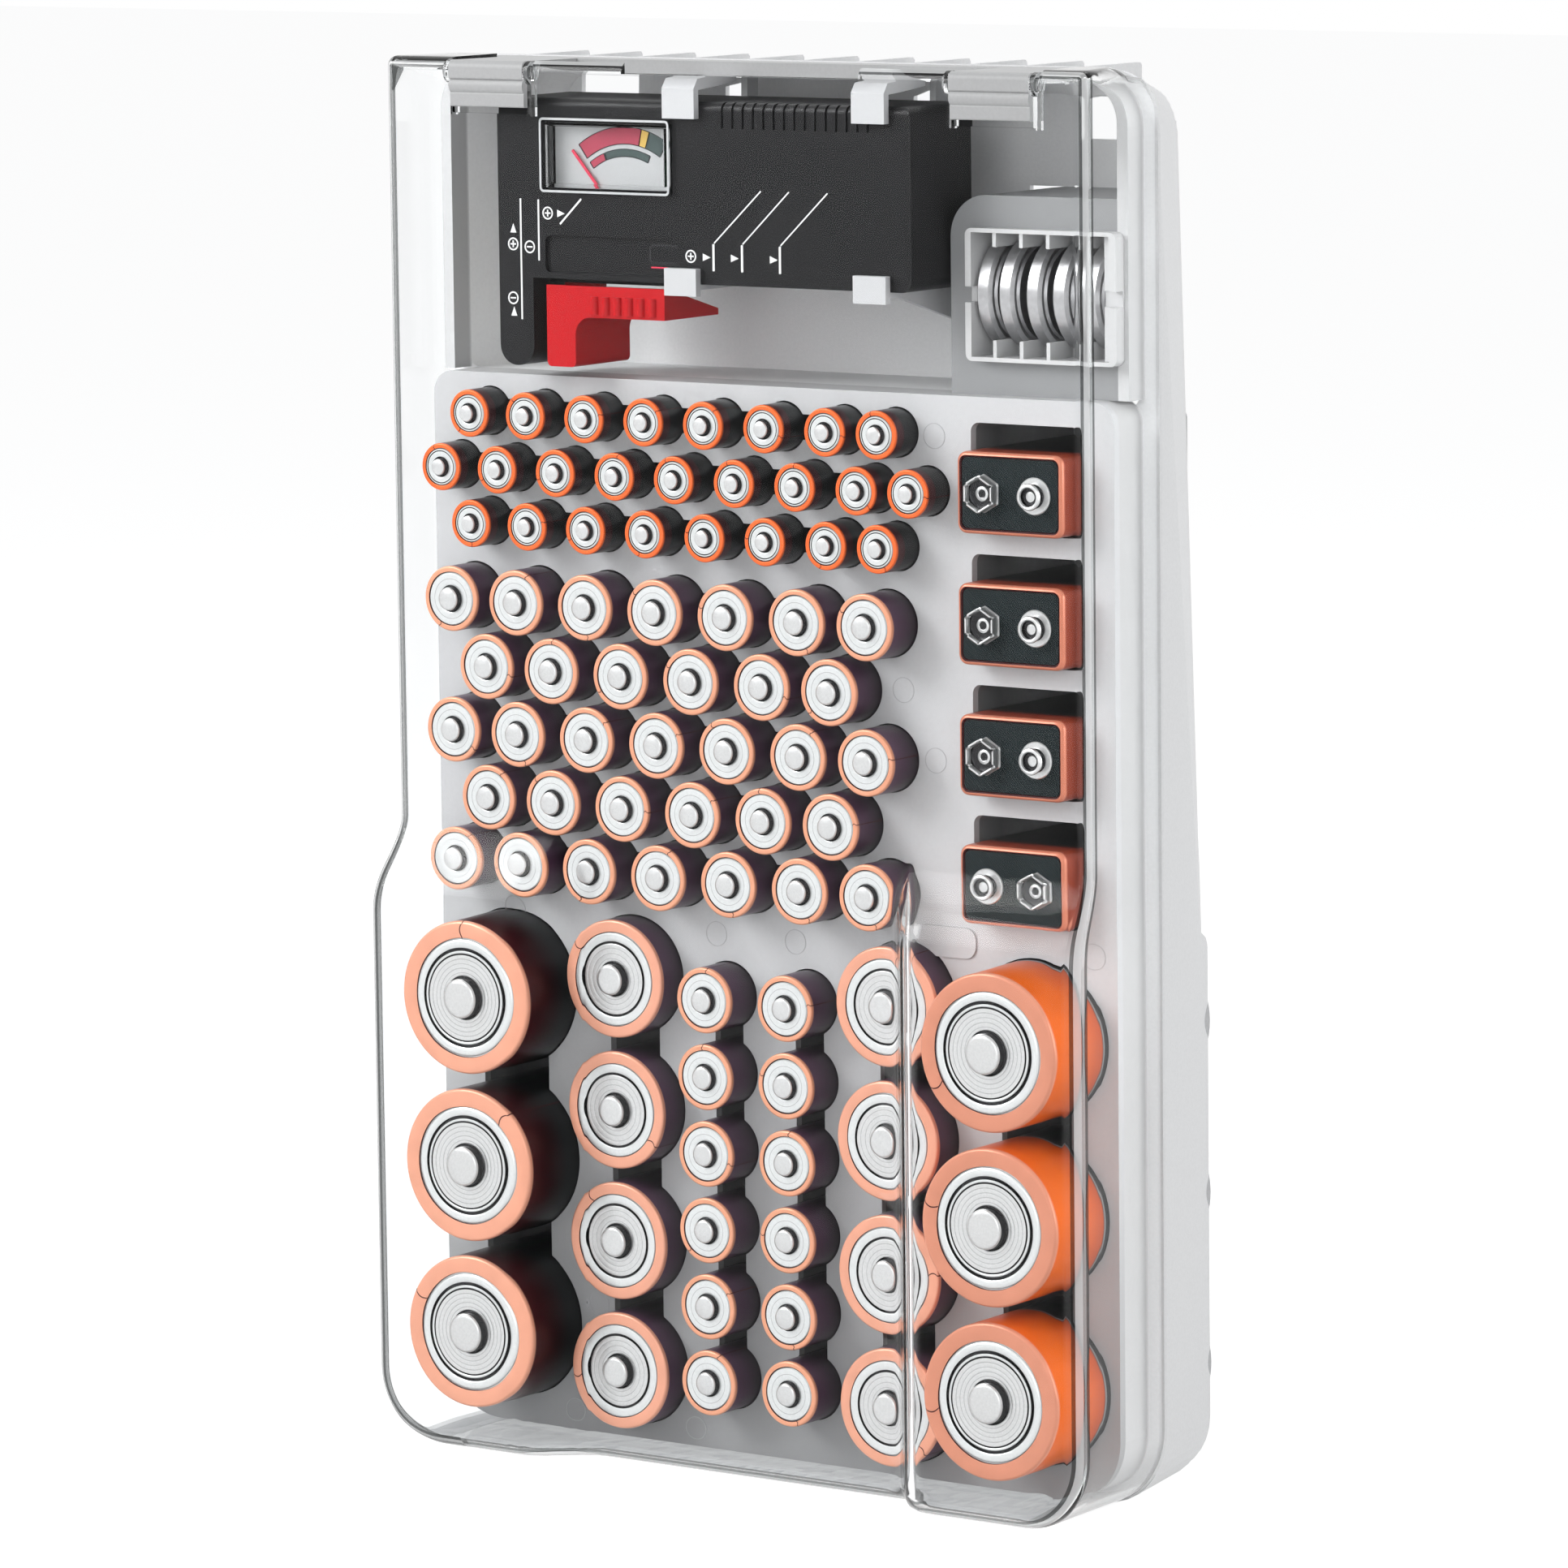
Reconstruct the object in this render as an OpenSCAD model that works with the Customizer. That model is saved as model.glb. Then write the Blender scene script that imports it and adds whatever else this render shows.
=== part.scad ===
// Battery storage drawer case.
// A moulded tray holds every cell in its own pocket, nose forward. Above the pockets
// a bay holds a clip-in battery tester and a rack of coin cells. A clear cover
// hinges at the top and closes over the front.
// X runs across the front, Y runs into the depth, Z is up. Millimetres.
// Heights are measured from the surface that the case stands on. Depths are measured
// from the face of the pocket deck, and place() then centres the case on its origin.

/* [Cells] */
// Diameter of an AA cell
aa_d = 14.5; // [14:0.1:14.6]
// Length of an AA cell with its nub
aa_len = 50.5; // [49:0.1:50.5]
// Diameter of an AAA cell
aaa_d = 10.5; // [10:0.1:10.6]
// Length of an AAA cell with its nub
aaa_len = 44.5; // [43:0.1:45]
// Diameter of a C cell
c_d = 26.2; // [25.8:0.1:26.4]
// Length of a C cell with its nub
c_len = 49.5; // [48.8:0.1:49.5]
// Diameter of a D cell
d_d = 34.2; // [33.8:0.1:34.4]
// Length of a D cell with its nub
d_len = 60.4; // [59.8:0.1:60.4]
// Width of a 9 volt battery
nv_w = 26.5; // [26:0.1:26.8]
// Thickness of a 9 volt battery
nv_t = 17.5; // [17:0.1:17.8]
// Length of a 9 volt battery with its terminals
nv_len = 48.5; // [48:0.1:48.5]
// Diameter of a coin cell
coin_d = 24.4; // [23:0.1:24.6]
// Thickness of a coin cell
coin_t = 4.2; // [3:0.1:4.3]

/* [Tray] */
// Half width of the tray's flange
flange_hw = 93.5; // [93.2:0.1:94]
// Half width of the raised pocket deck
deck_hw = 89; // [88.6:0.1:89.4]
// Height of the top edge of the pocket deck
deck_top = 239; // [238:0.5:240]
// Height of the tray's top rail
tray_top = 308.3; // [307.8:0.1:308.4]
// Depth of the flange behind the deck face
flange_y = 11.2; // [11.1:0.1:11.6]
// Depth of the tray behind the deck face
tray_back = 40.5; // [40.5:0.1:41]
// Thickness of the tray's walls
wall = 1.5; // [1.2:0.1:1.6]
// Number of stiffening fins on the top
fin_count = 11; // [5:1:15]

/* [Pockets] */
// Gap between a cell and its pocket wall
pocket_gap = 0.25; // [0.15:0.05:0.3]
// Thickness of a pocket's wall
cup_wall = 0.8; // [0.6:0.1:0.9]
// Distance between AA cells in a row
aa_pitch = 18.8; // [18.4:0.1:19]
// Distance between AA rows
aa_row_pitch = 14.58; // [14.5:0.01:14.7]
// Distance between AAA cells in a row
aaa_pitch = 15.95; // [15.6:0.05:16]
// Distance between AAA rows
aaa_row_pitch = 12.2; // [12.1:0.05:12.4]
// Distance between D cells in a column
d_pitch = 37.62; // [37.4:0.01:37.8]
// Distance between C cells in a column
c_pitch = 29.28; // [29:0.01:29.4]
// Distance between AA cells in a middle column
mid_pitch = 17; // [16.8:0.1:17.2]
// Distance between 9 volt batteries
nv_pitch = 28; // [27.6:0.1:28.4]
// Finger room above each 9 volt battery
nv_finger = 5; // [4.5:0.1:5.4]

/* [Cover] */
// Half width of the cover's front beside the small cells
cover_up_hw = 91.7; // [91.2:0.1:92]
// Half width of the cover's rim, where it meets the flange
cover_rim_hw = 94.2; // [94:0.1:94.4]
// Half width of the cover over the D cells
cover_low_hw = 94; // [93.6:0.1:94.4]
// Height of the cover's top edge
cover_top = 309; // [308.8:0.1:309.2]
// Reach of the cover in front of the deck face
cover_front = 13.6; // [13.4:0.1:14]
// Reach of the deep pods in front of the deck face
pod_front = 23.5; // [23.2:0.1:24]
// Thickness of the clear wall
clear_wall = 1.5; // [1.2:0.1:1.6]

/* [Hinge] */
// Radius of the hinge boss
boss_r = 1.5; // [1.2:0.1:1.8]
// Running gap between a boss and its bore
boss_gap = 0.06; // [0.03:0.01:0.09]
// Length of a hinge barrel
barrel_len = 20; // [18:0.5:20]
// Middle of the left hinge block
hinge_left_x = -62.4; // [-63:0.1:-62]
// Middle of the right hinge block
hinge_right_x = 68.8; // [68:0.1:69]

/* [Tester] */
// Left side of the tester
tester_left = -63.5; // [-64:0.1:-63]
// Right side of the tester
tester_right = 45.4; // [44.5:0.1:45.6]
// Thickness of the tester
tester_t = 23; // [22:0.5:23]
// Angle of the needle at rest, left of upright
needle_rest = 41; // [38:1:42]

/* [Hidden] */
$fn = 64;

eps = 0.01;
mid_y = (tray_back - pod_front) / 2;

// Deck
deck_t = 2;
deck_base = 2.5;
deck_r_low = 14;
deck_r_top = 5;
pad_t = 0.4;

// Pocket rows: middle of the row, first height, counts
small_mid_x = -22.7;
aa_z0 = 189.4;
aa_rows = 5;
aa_tuck = 1.1;
aaa_mid_x = -18;
aaa_z0 = 230.6;
aaa_rows = 3;
aaa_tuck_left = 0.6;
aaa_tuck_right = 2.6;
d_x = 69.3;
d_z0 = 102;
d_count = 3;
c_x = 36.2;
c_z0 = 107.5;
c_count = 4;
mid_x = 10.72;
mid_z0 = 105.1;
mid_count = 6;
nv_x = 67.8;
nv_z0 = 219.3;
nv_count = 4;
neck_ratio = 0.5;
floor_t = 1;

// How far each kind of cell stands in front of the deck, nub included
aa_proud = 11;
aaa_proud = 9.5;
c_proud = 10;
d_proud = 20.9;
nv_proud = 9;

// Upper bay
land_y = 5;
bay_hw = 86.9;
bay_top = 305.3;
bay_back_hw = 79.6;
bay_back_top = 301.2;
bay_back_y = 35.8;
bay_wall = 1.3;
bay_r = 8;

// Skirt behind the flange: half widths of its back edge at the foot, above the D cells
// and at the top
skirt_y = flange_y + wall;
skirt_end_y = tray_back - 3.5;
skirt_lip_y = tray_back - 2;
skirt_low_hw = 88.1;
skirt_mid_hw = 87.9;
skirt_mid_z = 110;
skirt_top_hw = 82.6;
skirt_back_top = 303.8;
skirt_front_top = 308;
skirt_low_r = 15;
skirt_top_r = 10;

// Hinge axis
hinge_y = -cover_front + clear_wall / 2;
hinge_z = 306;
barrel_r = 2.5;
ear_t = 1.2;
ear_gap = 0.2;

// Tester
tester_y = -9;
tester_top = 300.4;
tester_low = 261.2;
lobe_right = -54.3;
lobe_low = 241.9;
shell_t = 1.8;
slider_z = 259.7;
seam_y = -3;
needle_x = -31.2;
needle_z = 273.4;
needle_len = 20.8;
window = [-50.3, 281, -17.5, 295.3];
post_at = [[-58.8, 291], [-58.9, 249], [40.4, 291], [40.4, 268]];

// ---------------------------------------------------------------- helpers

// Puts the case's middle on the origin
module place() {
    translate([0, -mid_y, 0]) children();
}

// Extrudes an outline drawn in X and Z from depth y0 to depth y1
module along_y(y0, y1) {
    translate([0, y1, 0]) rotate([90, 0, 0]) linear_extrude(y1 - y0) children();
}

// Extrudes an outline drawn in Y and Z from x0 to x1
module along_x(x0, x1) {
    translate([x0, 0, 0]) rotate([90, 0, 90]) linear_extrude(x1 - x0) children();
}

// Extrudes an outline drawn in X and Y from z0 to z1
module along_z(z0, z1) {
    translate([0, 0, z0]) linear_extrude(z1 - z0) children();
}

module block(x0, x1, y0, y1, z0, z1) {
    translate([x0, y0, z0]) cube([x1 - x0, y1 - y0, z1 - z0]);
}

// Rectangle from (x0, z0) to (x1, z1) with low corners rl and high corners rh
module soft_rect(x0, z0, x1, z1, rl, rh) {
    polygon([[x0 + rl, z0], [x1 - rl, z0], [x1, z0 + rl], [x1, z1 - rh],
        [x1 - rh, z1], [x0 + rh, z1], [x0, z1 - rh], [x0, z0 + rl]]);
    for (x = [x0 + rl, x1 - rl]) translate([x, z0 + rl]) circle(rl);
    for (x = [x0 + rh, x1 - rh]) translate([x, z1 - rh]) circle(rh);
}

module both_sides() {
    for (side = [1, -1]) scale([side, 1, 1]) children();
}

// Distance of cell k from the row's middle, with both end cells tucked in
function row_x(k, n, pitch, left, right) =
    (k - (n - 1) / 2) * pitch + (k == 0 ? left : k == n - 1 ? -right : 0);

function aa_n(row) = row % 2 == 0 ? 7 : 6;
function aaa_n(row) = row % 2 == 0 ? 8 : 9;
function aa_row_xs(row) =
    [for (k = [0 : aa_n(row) - 1]) small_mid_x + row_x(k, aa_n(row), aa_pitch, aa_tuck, aa_tuck)];
function aaa_row_xs(row) =
    [for (k = [0 : aaa_n(row) - 1])
        aaa_mid_x + row_x(k, aaa_n(row), aaa_pitch, aaa_tuck_left, aaa_tuck_right)];
function aa_row_z(row) = aa_z0 - row * aa_row_pitch;
function aaa_row_z(row) = aaa_z0 - row * aaa_row_pitch;

// ---------------------------------------------------------------- pockets

// Outline of a row of pockets that run into each other through short necks
module row_slot(xs, z, r) {
    for (x = xs) translate([x, z]) circle(r);
    translate([xs[0], z - r * neck_ratio])
        square([xs[len(xs) - 1] - xs[0], 2 * r * neck_ratio]);
}

// Outline of a column of pockets, from the top pocket down
module column_slot(x, z0, pitch, n, r) {
    for (k = [0 : n - 1]) translate([x, z0 - k * pitch]) circle(r);
    translate([x - r * neck_ratio, z0 - (n - 1) * pitch])
        square([2 * r * neck_ratio, (n - 1) * pitch]);
}

module aa_slots(grow) {
    for (row = [0 : aa_rows - 1]) row_slot(aa_row_xs(row), aa_row_z(row), aa_d / 2 + grow);
}

module aaa_slots(grow) {
    for (row = [0 : aaa_rows - 1]) row_slot(aaa_row_xs(row), aaa_row_z(row), aaa_d / 2 + grow);
}

module mid_slots(grow) {
    both_sides() column_slot(mid_x, mid_z0, mid_pitch, mid_count, aa_d / 2 + grow);
}

module c_slots(grow) {
    both_sides() column_slot(c_x, c_z0, c_pitch, c_count, c_d / 2 + grow);
}

module d_slots(grow) {
    both_sides() column_slot(d_x, d_z0, d_pitch, d_count, d_d / 2 + grow);
}

// Each 9 volt pocket is taller than its battery, to let a fingertip in above it
module nv_slots(grow) {
    for (k = [0 : nv_count - 1]) translate([nv_x, nv_z0 - k * nv_pitch])
        soft_rect(-nv_w / 2 - grow, -nv_t / 2 - grow, nv_w / 2 + grow,
            nv_t / 2 + nv_finger + grow, 2, 2);
}

function cell_back(length, proud) = length - proud;

// A cup behind the deck: kind picks its outline, back is where the cell's tail rests
module cups(back) {
    difference() {
        along_y(deck_t, back + floor_t) children(0);
        along_y(deck_t - 1, back) children(1);
    }
}

module aa_pockets() {
    color("gainsboro") place() cups(cell_back(aa_len, aa_proud)) {
        aa_slots(pocket_gap + cup_wall);
        aa_slots(pocket_gap);
    }
}

module aaa_pockets() {
    color("gainsboro") place() cups(cell_back(aaa_len, aaa_proud)) {
        aaa_slots(pocket_gap + cup_wall);
        aaa_slots(pocket_gap);
    }
}

module aa_column_pockets() {
    color("gainsboro") place() cups(cell_back(aa_len, aa_proud)) {
        mid_slots(pocket_gap + cup_wall);
        mid_slots(pocket_gap);
    }
}

module c_pockets() {
    color("gainsboro") place() cups(cell_back(c_len, c_proud)) {
        c_slots(pocket_gap + cup_wall);
        c_slots(pocket_gap);
    }
}

module d_pockets() {
    color("gainsboro") place() cups(cell_back(d_len, d_proud)) {
        d_slots(pocket_gap + cup_wall);
        d_slots(pocket_gap);
    }
}

module nine_volt_pockets() {
    color("gainsboro") place() cups(cell_back(nv_len, nv_proud)) {
        nv_slots(2 * pocket_gap + cup_wall);
        nv_slots(2 * pocket_gap);
    }
}

// ---------------------------------------------------------------- tray

module deck_outline(inset) {
    soft_rect(-deck_hw + inset, deck_base + inset, deck_hw - inset, deck_top - inset,
        deck_r_low - inset, deck_r_top - inset);
}

module tray_deck() {
    color("lightgray") place() along_y(-pad_t, 0.1) soft_rect(38.7, 117.9, 54.4, 124.2, 2.6, 2.6);
    color("lightgray") place() along_y(0, deck_t) difference() {
        deck_outline(0);
        aa_slots(pocket_gap);
        aaa_slots(pocket_gap);
        mid_slots(pocket_gap);
        c_slots(pocket_gap);
        d_slots(pocket_gap);
        nv_slots(2 * pocket_gap);
    }
}

module flange_outline() {
    soft_rect(-flange_hw, 0, flange_hw, tray_top + 0.2, 17, 14);
}

// The land is the frame round the bay's mouth
module land() {
    along_y(land_y, flange_y) difference() {
        intersection() {
            soft_rect(-89.6, deck_top - 40, 89.6, tray_top, 4, 12);
            translate([-100, deck_top]) square([200, 100]);
        }
        soft_rect(-bay_hw, deck_top - 20, bay_hw, bay_top, 2, bay_r);
    }
}

module deck_rim() {
    along_y(deck_t, flange_y) difference() {
        deck_outline(0);
        deck_outline(wall);
    }
}

module flange() {
    along_y(flange_y, skirt_y) difference() {
        flange_outline();
        soft_rect(-deck_hw + wall, deck_base + wall, deck_hw - wall, deck_top - wall, 12.5, 3.5);
        soft_rect(-bay_hw - bay_wall, deck_top - wall, bay_hw + bay_wall,
            bay_top + bay_wall, 2, bay_r + bay_wall);
    }
}

module disc(x, y, z, r) {
    translate([x, y, z]) rotate([90, 0, 0]) cylinder(r = r, h = eps);
}

// One ring of the skirt at depth y
module skirt_ring(y, low_hw, mid_hw, top_hw, top, inset, lift) {
    for (side = [-1, 1]) {
        disc(side * (low_hw - skirt_low_r), y, skirt_low_r + lift, skirt_low_r - inset);
        disc(side * (mid_hw - 2), y, skirt_mid_z, 2 - inset);
        disc(side * (top_hw - skirt_top_r), y, top - skirt_top_r, skirt_top_r - inset);
    }
}

// The skirt narrows towards the back, and its back edge is eased
module skirt_body(inset) {
    front = flange_hw - 0.8;
    hull() {
        skirt_ring(skirt_y + eps - (inset > 0 ? 1 : 0), front, front, front,
            skirt_front_top, inset, 0);
        skirt_ring(skirt_end_y, skirt_low_hw, skirt_mid_hw, skirt_top_hw,
            skirt_back_top, inset, 0);
        if (inset > 0)
            skirt_ring(tray_back + 1, skirt_low_hw, skirt_mid_hw, skirt_top_hw,
                skirt_back_top, inset, 0);
        else
            skirt_ring(skirt_lip_y, skirt_low_hw - 1.2, skirt_mid_hw - 1.2, skirt_top_hw - 1.2,
                skirt_back_top - 1.2, 0, 1.2);
    }
}

// Round the D pockets the skirt runs on to the back of the tray
module skirt_foot(inset) {
    y1 = inset > 0 ? tray_back + 1 : tray_back - 0.3;
    ease = inset > 0 ? 0 : 0.8;
    hull() for (side = [-1, 1]) {
        disc(side * (skirt_low_hw - skirt_low_r), skirt_end_y - 1, skirt_low_r, skirt_low_r - inset);
        disc(side * (skirt_low_hw - skirt_low_r), y1, skirt_low_r, skirt_low_r - inset - ease);
        disc(side * (skirt_mid_hw - 6), skirt_end_y - 1, skirt_mid_z + 10, 6 - inset);
        disc(side * (skirt_mid_hw - 6), y1, skirt_mid_z + 8, 6 - inset - ease);
    }
}

// Where a pocket reaches the skirt, the pocket's own wall takes over
module skirt() {
    difference() {
        union() {
            skirt_body(0, $fn = 32);
            skirt_foot(0, $fn = 32);
        }
        skirt_body(wall, $fn = 32);
        skirt_foot(wall, $fn = 32);
        along_y(skirt_y - 1, tray_back) {
            aa_slots(pocket_gap + cup_wall + 0.05);
            aaa_slots(pocket_gap + cup_wall + 0.05);
            d_slots(pocket_gap + cup_wall + 0.05);
        }
    }
}

module tray_shell() {
    color("whitesmoke") place() {
        deck_rim();
        land();
        flange();
        skirt();
    }
}

// Windows in the bay's back wall: left, right, low edge, top edge at the left and at
// the right
bay_windows = [[-73.5, -57.7, 291.7, 301, 301], [-34.1, -25.5, 291.7, 300, 301],
    [16, 24, 291.7, 299.4, 301], [59.4, 67.2, 291.7, 300.9, 300.9], [8, 25, 256.2, 259.4, 259.4]];

// The bay is a tapering tub behind the land
module tester_bay() {
    color("gainsboro") place() difference() {
        hull() {
            along_y(flange_y, flange_y + eps)
                soft_rect(-bay_hw - bay_wall, deck_top - wall, bay_hw + bay_wall,
                    bay_top + bay_wall, 2, bay_r + bay_wall, $fn = 32);
            along_y(bay_back_y + wall, bay_back_y + wall + eps)
                soft_rect(-bay_back_hw - bay_wall, deck_top - wall, bay_back_hw + bay_wall,
                    bay_back_top + 1, 2, bay_r + bay_wall, $fn = 32);
        }
        hull() {
            along_y(flange_y - 1, flange_y)
                soft_rect(-bay_hw, deck_top, bay_hw, bay_top, 2, bay_r, $fn = 32);
            along_y(bay_back_y - eps, bay_back_y)
                soft_rect(-bay_back_hw, deck_top, bay_back_hw, bay_back_top, 2, bay_r, $fn = 32);
        }
        for (w = bay_windows) along_y(bay_back_y - 1, bay_back_y + 3)
            polygon([[w[0], w[2]], [w[1], w[2]], [w[1], w[4]], [w[0], w[3]]]);
        block(pedestal_left, 100, flange_y - 1, bay_back_y + 3, deck_top - 4, pedestal_top);
    }
}

// Fins that rise from the sloping top of the skirt
module top_fins() {
    slope = (skirt_front_top - skirt_back_top) / (skirt_end_y - skirt_y);
    fin_pitch = 146 / (fin_count - 1);
    color("whitesmoke") place() for (k = [0 : fin_count - 1])
        along_x(-73 + k * fin_pitch - 0.6, -73 + k * fin_pitch + 0.6)
            polygon([[skirt_y + 2, skirt_front_top - 2 * slope], [skirt_end_y, skirt_back_top],
                [skirt_end_y, tray_top - 0.6], [skirt_end_y - 0.6, tray_top], [skirt_y + 2, tray_top]]);
}

// ---------------------------------------------------------------- hinge

// Section of a hinge block: an arm from the top rail, the head round the bore, a bead
// under it and a foot
module hinge_section() {
    polygon([[land_y, bay_top + 0.6], [land_y, tray_top], [hinge_y, hinge_z + barrel_r],
        [hinge_y, hinge_z]]);
    soft_rect(hinge_y - 2.4, hinge_z - 1.6, hinge_y + 2.2, hinge_z + barrel_r, 0.5, 1.6);
    translate([hinge_y - 0.5, hinge_z - 3]) circle(1.9);
    translate([hinge_y - 0.6, hinge_z - 7]) square([1.9, 6]);
    soft_rect(hinge_y - 1.8, hinge_z - 7.6, hinge_y + 1.3, hinge_z - 4.4, 0.4, 0.4);
}

module hinge_block() {
    difference() {
        along_x(-barrel_len / 2, barrel_len / 2) hinge_section();
        for (side = [-1, 1]) translate([side * (barrel_len / 2 - 1.6), hinge_y, hinge_z])
            rotate([0, 90, 0]) cylinder(r = boss_r + boss_gap, h = 3.4, center = true);
    }
}

module at_hinges() {
    for (x = [hinge_left_x, hinge_right_x]) translate([x, 0, 0]) children();
}

module hinge_blocks() {
    color("whitesmoke") place() at_hinges() hinge_block();
}

// ---------------------------------------------------------------- tester clips

clip_w = 8.4;
clip_xs = [-13.6, 35.7];
clip_front = tester_y - 1.8;
clip_hook_z = 296.8;
stem_t = 1.2;

// Height of the bay's sloping ceiling at depth y
function ceiling_z(y) =
    bay_top - (bay_top - bay_back_top) * max(0, y - flange_y) / (bay_back_y - flange_y);

// Upper hook: reaches forward from the bay's ceiling and drops over the tester's edge.
// A stop hangs from the ceiling behind the tester.
module upper_clip() {
    stop_y = tester_y + tester_t;
    along_x(-clip_w / 2, clip_w / 2) polygon([[land_y, bay_top], [land_y, bay_top - 1.7],
        [tester_y, bay_top - 2.4], [tester_y, clip_hook_z], [clip_front, clip_hook_z],
        [clip_front, bay_top - 2.1], [clip_front + 1.5, bay_top - 0.1], [clip_front + 3, bay_top]]);
    along_x(-0.8, 0.8) polygon([[stop_y, tester_top - 7], [stop_y + 4, tester_top - 1],
        [stop_y + 4, ceiling_z(stop_y + 4)], [stop_y, ceiling_z(stop_y)]]);
}

// Lower hook: a thin stem under the tester, with a tab turned up in front of it
module lower_clip() {
    stem_z = tester_low - stem_t;
    block(-clip_w / 2, clip_w / 2, clip_front, bay_back_y, stem_z, tester_low);
    block(-clip_w / 2, clip_w / 2, clip_front, tester_y, stem_z - 1.3, stem_z + 4.6);
}

module tester_clips() {
    color("white") place() {
        for (x = clip_xs) translate([x, 0, 0]) {
            upper_clip();
            lower_clip();
        }
        // A web under the right stem
        along_x(clip_xs[1] + 2, clip_xs[1] + 3.2)
            polygon([[tester_y + 4, tester_low - stem_t], [bay_back_y, tester_low - stem_t],
                [bay_back_y, tester_low - 12], [bay_back_y - 3, tester_low - 12]]);
    }
}

// ---------------------------------------------------------------- coin rack

coin_xs = [56, 61.6, 68.5, 75.1, 81.9];
tooth_x0 = 58.9;
tooth_pitch = 6.75;
tooth_low = 3.6;
tooth_high = 3;
rack_x0 = 51.7;
rack_x1 = 88.6;
rack_in0 = 53.2;
rack_in1 = 84.3;
rack_mouth = 86.7;
rack_z0 = 246.4;
rack_z1 = 274.6;
rack_front = 1.8;
rack_wall = 0.9;
rack_back = rack_front + coin_d + 2.2;
coin_y = rack_front + 0.8 + coin_d / 2;
coin_z = (rack_z0 + rack_z1) / 2;
pedestal_left = 46;
pedestal_top = 281.4;

module pedestal_outline(inset) {
    intersection() {
        soft_rect(pedestal_left + inset, deck_top - 20, bay_hw + 20, pedestal_top - inset, 2, 9 - inset);
        translate([0, deck_top]) square([100, 60]);
    }
}

// Raised box in the bay's corner that holds the rack. It is hollow from behind.
module coin_pedestal() {
    color("gainsboro") place() difference() {
        intersection() {
            along_y(land_y, bay_back_y + bay_wall) pedestal_outline(0);
            along_z(deck_top, pedestal_top) polygon([[pedestal_left, land_y], [bay_hw, land_y],
                [bay_hw, flange_y], [bay_back_hw, bay_back_y + bay_wall],
                [pedestal_left, bay_back_y + bay_wall]]);
        }
        along_y(land_y + bay_wall, bay_back_y + 3) pedestal_outline(bay_wall);
        block(rack_in0 - rack_wall - 0.1, rack_in1 + rack_wall + 0.1, land_y - 1, land_y + 3,
            rack_z0 + 0.1, rack_z1 - 0.1);
    }
}

// Comb frame: short teeth above and below keep the coins apart
module coin_rack() {
    color("white") place() difference() {
        union() {
            difference() {
                union() {
                    along_y(rack_front, land_y) soft_rect(rack_x0, rack_z0, rack_x1, rack_z1, 1.6, 1.6);
                    block(rack_in0 - rack_wall, rack_in1 + rack_wall, land_y, rack_back,
                        rack_z0 + 0.2, rack_z1 - 0.2);
                }
                block(rack_in0, rack_in1, rack_front - 1, rack_back - 1,
                    rack_z0 + rack_wall, rack_z1 - rack_wall);
                block(rack_in0, rack_mouth, rack_front - 1, land_y - 1,
                    rack_z0 + rack_wall, rack_z1 - rack_wall);
            }
            for (k = [0 : len(coin_xs) - 2]) {
                x = tooth_x0 + k * tooth_pitch;
                block(x - 0.45, x + 0.45, rack_front + 0.4, rack_back - 0.5,
                    rack_z0 + 0.5, rack_z0 + rack_wall + tooth_low);
                block(x - 0.45, x + 0.45, rack_front + 0.4, rack_back - 0.5,
                    rack_z1 - rack_wall - tooth_high, rack_z1 - 0.5);
            }
        }
        block(rack_x0 - 1, rack_x1 + 1, rack_front - 1, land_y - 0.6, coin_z - 1.7,
            coin_z + 1.7);
    }
}

// ---------------------------------------------------------------- cover

pod_low_z = 120;
pod_high_z = 141;
rim_gap = 0.35;
cover_top_r = 2;
pod_edge = 4;
ridge_x = 43;
left_ridge_front = 55;
right_ridge_front = 50;
lip_left = -27;
lip_right = 34.8;
brow_z = 306.2;

// Radius of the S bend that joins two upright lines dy apart over a height of dz
function bend_r(dy, dz) = (dy * dy + dz * dz) / (4 * dy);

// Points of that S bend, from (y0, z0) at the top to (y0 - dy, z0 - dz)
function bend(y0, z0, dy, dz, steps) =
    let (r = bend_r(dy, dz), a = acos(1 - dy / (2 * r)))
    concat(
        [for (k = [0 : steps]) let (t = a * k / steps) [y0 - r + r * cos(t), z0 - r * sin(t)]],
        [for (k = [steps - 1 : -1 : 0]) let (t = a * k / steps)
            [y0 - dy + r - r * cos(t), z0 - dz + r * sin(t)]]);

// Points of a quarter round about (cy, cz), from angle a0 to a1
function round_pts(cy, cz, r, a0, a1, steps) =
    [for (k = [0 : steps]) let (a = a0 + (a1 - a0) * k / steps) [cy + r * cos(a), cz + r * sin(a)]];

// The shallow part of the cover, shrunk by inset on every side but the back. Its sides
// lean out towards the rim.
module cover_shallow(inset, back) {
    hw = cover_up_hw - inset;
    rim = cover_rim_hw - inset;
    front = -cover_front + inset;
    edge = 3 - inset;
    intersection() {
        along_y(front, back)
            soft_rect(-rim, inset, rim, cover_top - inset, 18 - inset, cover_top_r - inset);
        along_z(-1, cover_top + 1) polygon(concat(
            [[rim, flange_y], [rim, back + 1], [-rim, back + 1], [-rim, flange_y]],
            round_pts(-hw + edge, front + edge, edge, 180, 270, 8),
            round_pts(hw - edge, front + edge, edge, 270, 360, 8)));
        along_x(-rim, rim) soft_rect(front, inset, back + 10, cover_top + 20, edge, 2);
    }
}

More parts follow.
